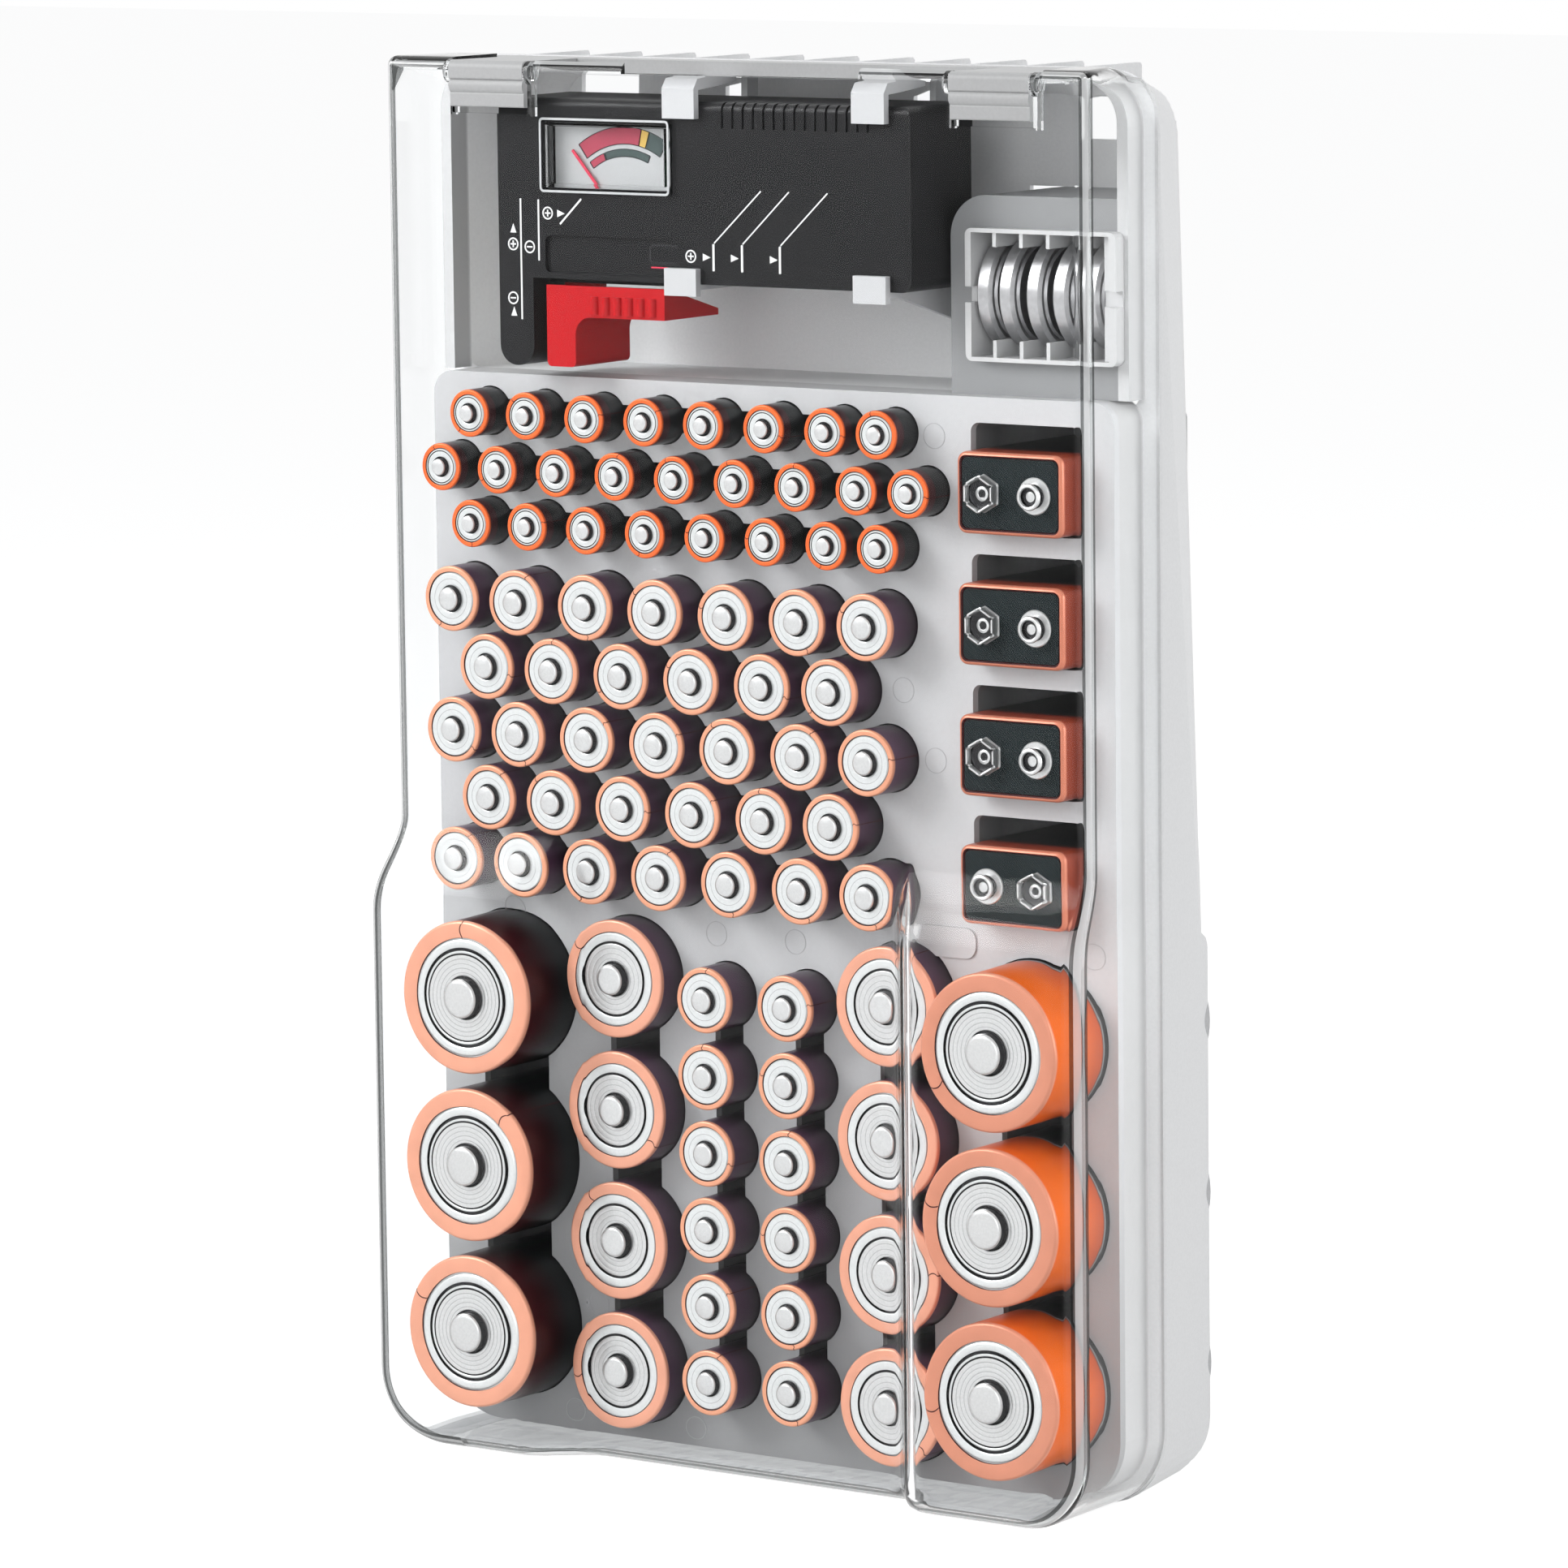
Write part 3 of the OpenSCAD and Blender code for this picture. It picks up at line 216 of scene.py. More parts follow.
def grained(name, colour, rough, metallic=0.0, scale=900.0, change=0.06, bump=0.02, gloss=0.5,
            front=None, foot=None, deep=None):
    """A material whose colour varies a little, with a fine grain.

    front is the share of the colour on faces turned to the object's front, a painted light;
    foot the share at its lower end, a painted shade; and deep two depths in metres with
    the shares at them, a painted shade.
    """
    mat, tree, shader = new_material(name)
    grain = noise(tree, scale)
    low = tuple(c * (1 - change) for c in colour)
    high = tuple(min(1, c * (1 + change)) for c in colour)
    tone = ramp(tree, grain, [(0.35, low), (0.65, high)])
    geometry = tree.nodes.new("ShaderNodeNewGeometry")
    # Painted light on front faces, painted shade at the foot and by depth
    if front is not None:
        tone = faded(tree, tone, geometry.outputs["True Normal"], "Y", (-0.9, -0.15, front, 1.0))
    if foot is not None:
        tone = faded(tree, tone, geometry.outputs["Position"], "Z", (0.0, FOOT_SHADE_FADE, foot, 1.0))
    if deep is not None:
        tone = faded(tree, tone, geometry.outputs["Position"], "Y", deep)
    tree.links.new(tone, shader.inputs["Base Color"])
    shader.inputs["Roughness"].default_value = rough
    shader.inputs["Metallic"].default_value = metallic
    shader.inputs["Specular IOR Level"].default_value = gloss
    if bump:
        add_bump(tree, shader, grain, bump)
    return mat


def clear_plastic(name, tint, steep, through=1.0, shine=0.05, ior=1.5, turn=(0.5, 0.88)):
    """Clear plastic that bends light, and that lets lamps through to what is behind it.

    Its tint goes over to steep where it is seen at a grazing angle, between the two Facing
    values of turn, a painted shade that draws dark outlines. The share of it that is not
    clear is milky, and on the edge's white band this paints a highlight; shine scales its gloss.
    """
    mat, tree, shader = new_material(name)
    grazing = tree.nodes.new("ShaderNodeLayerWeight")
    grazing.inputs["Blend"].default_value = 0.5
    tree.links.new(ramp(tree, grazing.outputs["Facing"], [(turn[0], tint), (turn[1], steep)]),
                   shader.inputs["Base Color"])
    shader.inputs["Roughness"].default_value = 0
    shader.inputs["IOR"].default_value = ior
    shader.inputs["Transmission Weight"].default_value = through
    shader.inputs["Specular Tint"].default_value = (shine, shine, shine, 1)
    out = tree.nodes["Material Output"]
    mix = tree.nodes.new("ShaderNodeMixShader")
    path = tree.nodes.new("ShaderNodeLightPath")
    open_to_light = tree.nodes.new("ShaderNodeBsdfTransparent")
    open_to_light.inputs["Color"].default_value = (0.95, 0.955, 0.96, 1)
    tree.links.new(path.outputs["Is Shadow Ray"], mix.inputs[0])
    tree.links.new(shader.outputs[0], mix.inputs[1])
    tree.links.new(open_to_light.outputs[0], mix.inputs[2])
    tree.links.new(mix.outputs[0], out.inputs["Surface"])
    return mat


def woven(name, colour, pitch):
    """Black fibre board with a fine diagonal weave."""
    mat, tree, shader = new_material(name)
    coord = tree.nodes.new("ShaderNodeTexCoord")
    turn = tree.nodes.new("ShaderNodeMapping")
    turn.inputs["Rotation"].default_value = (0, math.radians(45), 0)
    wave = tree.nodes.new("ShaderNodeTexWave")
    wave.inputs["Scale"].default_value = 0.314 / (pitch * MM)
    wave.inputs["Distortion"].default_value = 0.6
    tree.links.new(coord.outputs["Object"], turn.inputs["Vector"])
    tree.links.new(turn.outputs["Vector"], wave.inputs["Vector"])
    light = tuple(2.2 * c for c in colour)
    weave = ramp(tree, wave.outputs["Fac"], [(0.35, colour), (0.75, light)])
    tree.links.new(weave, shader.inputs["Base Color"])
    shader.inputs["Roughness"].default_value = 0.5
    shader.inputs["Specular IOR Level"].default_value = 0.15
    add_bump(tree, shader, wave.outputs["Fac"], 0.5, 0.0001)
    return mat


def printed(name, front, stops, gloss=0.35):
    """A printed sleeve, coloured by depth: print on the front ring, painted shade down the side. Stops are
    (millimetres behind its front, colour).
    """
    mat, tree, shader = new_material(name)
    coord = tree.nodes.new("ShaderNodeTexCoord")
    split = tree.nodes.new("ShaderNodeSeparateXYZ")
    tree.links.new(coord.outputs["Object"], split.inputs[0])
    scale = tree.nodes.new("ShaderNodeMapRange")
    start = world_depth(front)
    scale.inputs["From Min"].default_value = start
    scale.inputs["From Max"].default_value = start + SLEEVE_SPAN * MM
    tree.links.new(split.outputs["Y"], scale.inputs["Value"])
    colour = ramp(tree, scale.outputs[0], [(depth / SLEEVE_SPAN, c) for depth, c in stops])
    blot = tree.nodes.new("ShaderNodeMix")
    blot.data_type = "RGBA"
    blot.blend_type = "MULTIPLY"
    blot.inputs["Factor"].default_value = 1
    tree.links.new(colour, blot.inputs["A"])
    uneven = ramp(tree, noise(tree, PRINT_GRAIN), [(0.3, (0.93, 0.93, 0.93)), (0.7, (1, 1, 1))])
    tree.links.new(uneven, blot.inputs["B"])
    tree.links.new(blot.outputs["Result"], shader.inputs["Base Color"])
    shader.inputs["Roughness"].default_value = 0.28
    shader.inputs["Metallic"].default_value = 0.2
    shader.inputs["Specular IOR Level"].default_value = gloss
    add_bump(tree, shader, noise(tree, PRINT_GRAIN), 0.03)
    return mat


# Depth in mm that a sleeve's colour ramp covers, and the scale of its unevenness
SLEEVE_SPAN = 70.0
PRINT_GRAIN = 260
BAND_RED = grained("dial_red", (0.46, 0.045, 0.085), 0.5, scale=1500)
BAND_YELLOW = grained("dial_yellow", (0.75, 0.48, 0.10), 0.5, scale=1500)
BAND_GREEN = grained("dial_green", (0.045, 0.075, 0.07), 0.5, scale=1500)
# Height in metres over which the deck's colour deepens towards its lower end, a painted shade
FOOT_SHADE_FADE = 0.09
# Depths and shares of colour, both painted shade: the outer plastic in front of the
# cover's rim end, which lies between the first two, is darkened, and a pocket is darkened
# near the deck and pales between the second two
RIM_SHADE_STEP = (world_depth(10.3), world_depth(11.3), 0.60, 1.0)
POCKET_SHADE_FADE = (world_depth(10.5), world_depth(24.5), 0.35, 1.0)
# The deck and tester clips: the tray's white plastic painted darker as shade, and darker still towards the
# foot
TRAY_SHADED = grained("tray_plastic_shaded", (0.54, 0.545, 0.555), 0.45, scale=1500, bump=0.03, change=0.02, gloss=0.3,
               foot=0.5)
# Outer plastic: faces turned to the front are painted lighter as light, and what lies inside the cover's
# rim is painted darker as shade
TRAY_WHITE = grained("tray_outer_plastic", (0.84, 0.845, 0.85), 0.4, scale=1500, bump=0.03, change=0.02,
                     gloss=0.3, front=1.15, deep=RIM_SHADE_STEP)
PEDESTAL = grained("coin_pedestal_plastic", (0.27, 0.275, 0.28), 0.45, scale=1500, bump=0.03, change=0.03)
BAY = grained("bay_plastic", (0.84, 0.845, 0.85), 0.45, scale=1500, bump=0.03, change=0.02, gloss=0.3)
# Pockets: the tray's plastic painted darker as shade, darkest where they meet the deck
POCKET_SHADED = grained("pocket_plastic_shaded", (0.56, 0.565, 0.575), 0.5, scale=1500, bump=0.03, change=0.04, gloss=0.2,
                 deep=POCKET_SHADE_FADE)
MARK = grained("moulding_marks", (0.40, 0.40, 0.41), 0.5, scale=1500, change=0.03)
# The cover's sheet: clear, painted darker at grazing angles as shade
CLEAR = clear_plastic("cover_plastic", (0.99, 0.994, 0.996), (0.12, 0.13, 0.13))
# The rounded edge and its bands: painted nearly black at grazing angles as shade; dark, grey and milky
# white bands paint shade and a highlight
EDGE = clear_plastic("cover_edge_plastic", (0.93, 0.94, 0.945), (0.01, 0.011, 0.011), shine=0.4,
                     turn=(0.43, 0.6))
EDGE_SHADE_LINE = clear_plastic("cover_edge_painted_shade", (0.09, 0.095, 0.095), (0.01, 0.011, 0.011), shine=0.4)
EDGE_HALF_SHADE = clear_plastic("cover_edge_painted_half_shade", (0.66, 0.70, 0.70), (0.02, 0.022, 0.022), shine=0.4,
                          turn=(0.43, 0.6))
EDGE_HIGHLIGHT = clear_plastic("cover_edge_painted_highlight", (0.95, 0.96, 0.96), (0.4, 0.4, 0.4), through=0.45, shine=0.8)
# The cover's foot: tinted grey as painted shade
FOOT_SHADE = clear_plastic("cover_foot_shaded", (0.50, 0.51, 0.52), (0.03, 0.032, 0.032))
CUT_EDGE = grained("cover_cut_edge", (0.74, 0.745, 0.75), 0.6, scale=1500, change=0.03)
RIDGE = clear_plastic("cover_ridge_plastic", (0.97, 0.975, 0.98), (0.5, 0.51, 0.51), shine=0.7)
WINDOW = clear_plastic("window_plastic", (0.97, 0.98, 0.985), (0.5, 0.5, 0.5), ior=1.3)
BLACK = grained("tester_plastic", (0.007, 0.007, 0.008), 0.4, scale=2500, bump=0.2, change=0.2, gloss=0.2)
PRINT = grained("white_print", (0.80, 0.80, 0.80), 0.5, scale=2500, change=0.05)
RIM = grained("window_rim", (0.52, 0.53, 0.54), 0.3, scale=1500, change=0.05)
DARK = grained("dark_plastic", (0.02, 0.02, 0.023), 0.5, scale=1500, gloss=0.3)
RED = grained("slider_plastic", (0.48, 0.004, 0.008), 0.3, scale=1200, gloss=0.2)
NEEDLE = grained("needle_paint", (0.75, 0.03, 0.08), 0.35, scale=1500)
CARD = grained("dial_card", (0.52, 0.52, 0.52), 0.6, scale=1500, change=0.03)
BOARD = grained("board_resin", (0.02, 0.11, 0.05), 0.4, scale=700)
TAN = grained("resistor_coat", (0.4, 0.28, 0.14), 0.4, scale=900)
BRASS = grained("contact_metal", (0.8, 0.66, 0.36), 0.28, metallic=1.0, scale=600)
STEEL = grained("screw_steel", (0.62, 0.62, 0.63), 0.35, metallic=1.0, scale=800)
# Copies of the can steel: plain, a brighter one as painted highlight, grey lines as painted reflection, and
# a dark one as painted shade
CAN = grained("can_steel", (0.66, 0.665, 0.665), 0.3, metallic=0.8, scale=1800, change=0.04)
CAN_HIGHLIGHT = grained("can_steel_painted_highlight", (0.71, 0.73, 0.73), 0.3, metallic=0.6, scale=1800, change=0.03)
CAN_REFLECTION_LINE = grained("can_steel_painted_reflection_line", (0.46, 0.465, 0.47), 0.3, metallic=0.8, scale=1800, change=0.05)
CAN_SHADED = grained("can_steel_shaded", (0.035, 0.035, 0.037), 0.3, metallic=0.85, scale=1800, change=0.2)
COIN = grained("coin_steel", (0.50, 0.50, 0.51), 0.28, metallic=0.9, scale=900)
COIN_FACE = grained("coin_face_steel", (0.30, 0.30, 0.31), 0.3, metallic=0.9, scale=900)
WEAVE = woven("fibre_board", (0.006, 0.010, 0.011), 0.45)
SEAM = grained("sleeve_seam", (0.05, 0.006, 0.007), 0.5, scale=900, gloss=0.2)

SALMON = (0.80, 0.37, 0.25)
SALMON_DEEP = (0.66, 0.27, 0.175)
PEACH = (0.80, 0.36, 0.22)
ORANGE = (0.88, 0.15, 0.03)
# Side colours of the AA and C sleeves: copper painted dark as shade
SIDE_SHADE = (0.095, 0.040, 0.085)
SIDE_SHADE_DARK = (0.014, 0.005, 0.012)
INK = (0.010, 0.011, 0.012)
# How far in front of the deck face each kind's sleeves stand, as a depth
AAA_FRONT, AA_FRONT, C_FRONT, D_FRONT, NV_FRONT = -8.3, -9.6, -8.0, -18.7, -6.4
# The looks of each kind's sleeves, left and right of the middle. The front ring is print;
# the dark tones down the sides are painted shade over the copper, and the left D column's
# sides are a shaded copy of the right ones.
SLEEVE_LOOKS = {
    "aaa": [printed("aaa_sleeve_print_and_shade", AAA_FRONT, [
        (0, ORANGE), (0.5, ORANGE), (0.6, (0.075, 0.018, 0.024)), (3.1, (0.05, 0.014, 0.018)),
        (3.3, INK)])] * 2,
    "aa": [printed("aa_sleeve_print_and_shade", AA_FRONT, [
        (0, PEACH), (0.7, PEACH), (0.9, SIDE_SHADE), (9, SIDE_SHADE_DARK)])] * 2,
    "c": [printed("c_sleeve_print_and_shade", C_FRONT, [
        (0, SALMON), (0.9, SALMON), (1.1, SIDE_SHADE), (8, SIDE_SHADE_DARK)])] * 2,
    "d": [printed("d_sleeve_print_and_shade_left", D_FRONT, [
        (0, SALMON), (0.9, SALMON), (1.2, (0.05, 0.003, 0.006)), (9, (0.02, 0.002, 0.003)),
        (14, INK)], gloss=0.15),
          printed("d_sleeve_print_and_shade_right", D_FRONT, [
              (0, SALMON_DEEP), (0.9, SALMON_DEEP), (1.2, (0.72, 0.125, 0.010)),
              (9, (0.66, 0.115, 0.008)), (16.6, (0.50, 0.07, 0.005)), (16.9, INK),
              (17.2, (0.4, 0.4, 0.4)), (17.6, INK)], gloss=0.12)],
}
# The 9 V rims: print at the front, darkening to black further back as painted shade
NINE_VOLT = printed("nine_volt_print_and_shade", NV_FRONT, [
    (0, (0.60, 0.20, 0.12)), (0.9, (0.60, 0.20, 0.12)), (1.3, (0.30, 0.05, 0.022)),
    (6, (0.22, 0.03, 0.013)), (9, INK)])

NODE_LOOKS = {
    "tray_deck": TRAY_SHADED, "aaa_pockets": POCKET_SHADED, "aa_pockets": POCKET_SHADED, "aa_column_pockets": POCKET_SHADED,
    "c_pockets": POCKET_SHADED, "d_pockets": POCKET_SHADED, "nine_volt_pockets": POCKET_SHADED, "tester_bay": BAY,
    "coin_pedestal": PEDESTAL, "tray_shell": TRAY_WHITE, "top_fins": TRAY_WHITE,
    "hinge_blocks": TRAY_WHITE, "tester_clips": TRAY_SHADED, "coin_rack": TRAY_WHITE,
    "cover": CLEAR, "meter_window": WINDOW, "tester_front": BLACK, "tester_back": BLACK,
    "tester_screws": STEEL, "meter_dial": CARD, "meter_needle": NEEDLE, "meter_movement": DARK,
    "tester_board": BOARD, "load_resistor": TAN, "tester_slider": RED, "slider_contact": BRASS,
    "cell_contact": BRASS, "nine_volt_contacts": BRASS, "aaa_cans": CAN, "aa_cans": CAN,
    "c_cans": CAN, "d_cans": CAN, "aaa_sleeves": SEAM, "aa_sleeves": SEAM,
    "c_sleeves": SEAM, "d_sleeves": SEAM, "nine_volt_cases": SEAM, "nine_volt_tops": WEAVE,
    "nine_volt_sockets": CAN, "nine_volt_studs": CAN, "coin_cans": COIN, "coin_caps": COIN_FACE,
}


def dress_nodes():
    for name, look in NODE_LOOKS.items():
        slots = nodes[name].data.materials
        slots.clear()
        slots.append(look)


# ---------------------------------------------------------------- mesh helpers

def to_object(name, bm):
    """Turns a bmesh in millimetres into an object in the frame."""
    bmesh.ops.recalc_face_normals(bm, faces=bm.faces)
    mesh = bpy.data.meshes.new(name)
    bm.to_mesh(mesh)
    bm.free()
    mesh.transform(Matrix.Translation((0, -MID_DEPTH * MM, 0)) @ Matrix.Scale(MM, 4))
    made = bpy.data.objects.new(name, mesh)
    bpy.context.collection.objects.link(made)
    return made


def make_piece(name, bm, looks, body, replaced=()):
    """A smooth piece that rides on a body."""
    for face in bm.faces:
        face.smooth = True
    piece = to_object(name, bm)
    for look in looks:
        piece.data.materials.append(look)
    piece.data.set_sharp_from_angle(angle=math.radians(38))
    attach(piece, body)
    if replaced:
        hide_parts(*replaced)
    return piece


def skin(bm, rings, materials, closed=False):
    """Joins rings of points with faces. Each ring closes on itself."""
    loops = [[bm.verts.new(p) for p in ring] for ring in rings]
    pairs = list(zip(loops, loops[1:]))
    if closed:
        pairs.append((loops[-1], loops[0]))
    for (low, high), material in zip(pairs, materials):
        count = len(low)
        for k in range(count):
            face = bm.faces.new((low[k], low[(k + 1) % count], high[(k + 1) % count], high[k]))
            face.material_index = material
    return loops


def turned(bm, x, z, back, profile, segments, wobble=None, shift=0):
    """Turns a profile about an axis along the depth. Its points are (radius, reach in front
    of back, material up to the next point). A profile that starts and ends on the axis
    makes a closed solid, and another one a ring."""
    rings = []
    for k, (radius, reach, _) in enumerate(profile):
        ring = []
        for s in range(segments):
            angle = 2 * math.pi * s / segments
            dr, dh = wobble(angle, k) if wobble and radius > 0 else (0, 0)
            ring.append((x + (radius + dr) * math.cos(angle), back - reach - dh,
                         z + (radius + dr) * math.sin(angle)))
        rings.append(ring)
    materials = [m + shift for _, _, m in profile]
    if profile[0][0] > 0:
        skin(bm, rings, materials, closed=True)
        return
    loops = skin(bm, rings[1:-1], materials[1:])
    ends = ((loops[0], profile[0], materials[0]), (loops[-1], profile[-1], materials[-2]))
    for loop, (_, reach, _), material in ends:
        tip = bm.verts.new((x, back - reach, z))
        for s in range(segments):
            bm.faces.new((loop[s], loop[(s + 1) % segments], tip)).material_index = material


def prism(bm, outline, front, back, material=0):
    """A flat plate from an outline of (x, z), between two depths."""
    near = [bm.verts.new((x, front, z)) for x, z in outline]
    far = [bm.verts.new((x, back, z)) for x, z in outline]
    made = [bm.faces.new(near), bm.faces.new(far[::-1])]
    for k in range(len(outline)):
        n = (k + 1) % len(outline)
        made.append(bm.faces.new((near[k], far[k], far[n], near[n])))
    for face in made:
        face.material_index = material


def soft_outline(half_w, half_h, radius, steps=6):
    """A rectangle about the origin with rounded corners."""
    points = []
    for turn, (sx, sz) in enumerate(((1, 1), (-1, 1), (-1, -1), (1, -1))):
        for k in range(steps + 1):
            a = math.pi / 2 * (turn + k / steps)
            points.append((sx * (half_w - radius) + radius * math.cos(a),
                           sz * (half_h - radius) + radius * math.sin(a)))
    return points


def islands(name):
    """The boxes, in millimetres, of the separate solids of a CAD node."""
    mesh = nodes[name].data
    parent = {}

    def root(k):
        while parent[k] != k:
            parent[k] = parent[parent[k]]
            k = parent[k]
        return k

    keys = [tuple(round(c * 1e6) for c in v.co) for v in mesh.vertices]
    for key in keys:
        parent[key] = key
    for edge in mesh.edges:
        a, b = (root(keys[v]) for v in edge.vertices)
        parent[a] = b
    boxes = {}
    for key in parent:
        low, high = boxes.setdefault(root(key), ([1e9] * 3, [-1e9] * 3))
        for k in range(3):
            low[k] = min(low[k], key[k] / 1000)
            high[k] = max(high[k], key[k] / 1000)
    found = []
    for low, high in boxes.values():
        low[1] += MID_DEPTH
        high[1] += MID_DEPTH
        found.append((low, high))
    return sorted(found, key=lambda b: (-round(b[0][2]), b[0][0]))


# ---------------------------------------------------------------- clear cover

WALL = 1.5
UP_HALF, LOW_HALF, RIM_HALF = 91.7, 94.0, 94.1
COVER_TOP = 309.0
TOP_R, LOW_R = 2.0, 17.0
RIM_TOP_R, RIM_LOW_R = 11.0, 18.0
FRONT, POD_FRONT = 13.6, 23.5
POD_LOW, POD_HIGH = 120.0, 141.0
RIDGE_ROOT = 43.0
# Where each pod's ridge reaches the pod's own front, and how softly it rounds over
RIDGES = {-1: (55.0, 1.2), 1: (50.0, 2.4)}
ROOT_BLEND, CORNER_BLEND = 3.0, 4.5
COVER_LOOKS = [CLEAR, EDGE, RIDGE, EDGE_SHADE_LINE, EDGE_HALF_SHADE, EDGE_HIGHLIGHT, CUT_EDGE, FOOT_SHADE]
IN_SHEET, IN_EDGE, IN_RIDGE, IN_SHADE_LINE, IN_HALF_SHADE, IN_HIGHLIGHT, IN_CUT, IN_FOOT_SHADE = range(8)
# Looks across the rounded edge, each up to an angle in degrees from its outside: dark bands
# of painted shade, a grey band of painted half-shade and a white band of painted highlight.
# The left edge is seen from its other side.
EDGE_BANDS = [(13, IN_SHADE_LINE), (26, IN_HALF_SHADE), (52, IN_HIGHLIGHT), (65, IN_SHADE_LINE)]
LEFT_BANDS = [(56, IN_SHADE_LINE), (65, IN_HIGHLIGHT), (80, IN_SHADE_LINE)]
# Where the left edge ends, where the rim's pale cut edge starts, and the height up to
# which the wall counts as the cover's foot, which is tinted grey as painted shade
LEFT_ZONE, CUT_ZONE, FOOT_WALL = -70, 80, 2.5
# Facets across the rounded edge, and how far inside the outline the flat front starts
EDGE_TURNS, FLAT_INSIDE = 7, 5.2
RIM_LEVELS = 6
RIM_DEPTH = 10.85
HINGE_DEPTH, HINGE_HEIGHT = -12.85, 306.0
HINGES = (-62.4, 68.8)
BARREL_HALF = 10.0
EAR_GAP, EAR_T, EAR_R, BOSS_R = 0.2, 1.2, 2.6, 1.5
NOTCH_LOW = 9.0
LIP_LEFT, LIP_RIGHT, BROW = -27.0, 34.8, 306.2
SHOULDER_HALF, SHOULDER_DEPTH = 90.1, 4.4


def ease(t):
    t = min(1, max(0, t))
    return t * t * (3 - 2 * t)


def soft_min(a, b, blend):
    return min(a, b) - blend * max(0, 1 - abs(a - b) / blend) ** 2 / 4


def bend_share(z):
    """0 above the S bend and 1 below it."""
    return ease((POD_HIGH - z) / (POD_HIGH - POD_LOW))


def edge_radius(z):
    return 3 + bend_share(z)


def pod_depth(x, z, inset):
    """How far the front stands out at (x, z) beyond its shallow part."""
    full = POD_FRONT - FRONT
    ridge, blend = RIDGES[1 if x > 0 else -1]
    slope = full / (ridge - RIDGE_ROOT)
    root = RIDGE_ROOT + inset * math.tan(math.atan(slope) / 2)
    across = soft_min(full, (abs(x) - root) * slope, blend)
    across = -soft_min(0, -across, ROOT_BLEND)
    return max(0, soft_min(across, full * bend_share(z), CORNER_BLEND))


def edge_look(share, left):
    """The painted shade and highlight bands of the rounded edge, at this share of its width from the
    outside.
    """
    turned_by = math.degrees(math.acos(1 - min(1, share)))
    for limit, look in LEFT_BANDS if left else EDGE_BANDS:
        if turned_by < limit:
            return look
    return IN_EDGE


def outline(half_top, half_low, r_top, r_low, inset):
    """The cover's outline from the middle of its foot, anticlockwise from the front."""
    base, top = inset, COVER_TOP - inset
    r_top, r_low = r_top - inset, r_low - inset

    def half(z):
        return half_top + (half_low - half_top) * bend_share(z) - inset

    points = []
    steps = 14
    for k in range(24):
        points.append(((half(base) - r_low) * k / 24, base))
    for k in range(steps):
        a = -math.pi / 2 + math.pi / 2 * k / steps
        points.append((half(base) - r_low + r_low * math.cos(a), base + r_low + r_low * math.sin(a)))
    heights = [base + r_low + (POD_LOW - 2 - base - r_low) * k / 22 for k in range(22)]
    heights += [POD_LOW - 2 + (POD_HIGH - POD_LOW + 4) * k / 20 for k in range(20)]
    heights += [POD_HIGH + 2 + (top - r_top - POD_HIGH - 2) * k / 30 for k in range(30)]
    for z in heights:
        points.append((half(z), z))
    for k in range(steps):
        a = math.pi / 2 * k / steps
        points.append((half(top) - r_top + r_top * math.cos(a), top - r_top + r_top * math.sin(a)))
    for k in range(24):
        points.append(((half(top) - r_top) * (1 - k / 24), top))
    mirrored = [(-x, z) for x, z in points[1:]]
    return points + [(0, top)] + mirrored[::-1]


def shrunk(points, inset):
    """The outline moved inwards along its own normals by inset(z)."""
    count = len(points)
    moved = []
    for k in range(count):
        (ax, az), (bx, bz) = points[k - 1], points[(k + 1) % count]
        tx, tz = bx - ax, bz - az
        size = math.hypot(tx, tz)
        step = inset(points[k][1])
        moved.append((points[k][0] - step * tz / size, points[k][1] + step * tx / size))
    return moved


def distance_to(line, x, z):
    """Distance from a point to a closed line."""
    best = 1e9
    for k in range(len(line)):
        (ax, az), (bx, bz) = line[k - 1], line[k]
        dx, dz = bx - ax, bz - az
        t = min(1, max(0, ((x - ax) * dx + (z - az) * dz) / (dx * dx + dz * dz)))
        best = min(best, (x - ax - t * dx) ** 2 + (z - az - t * dz) ** 2)
    return math.sqrt(best)


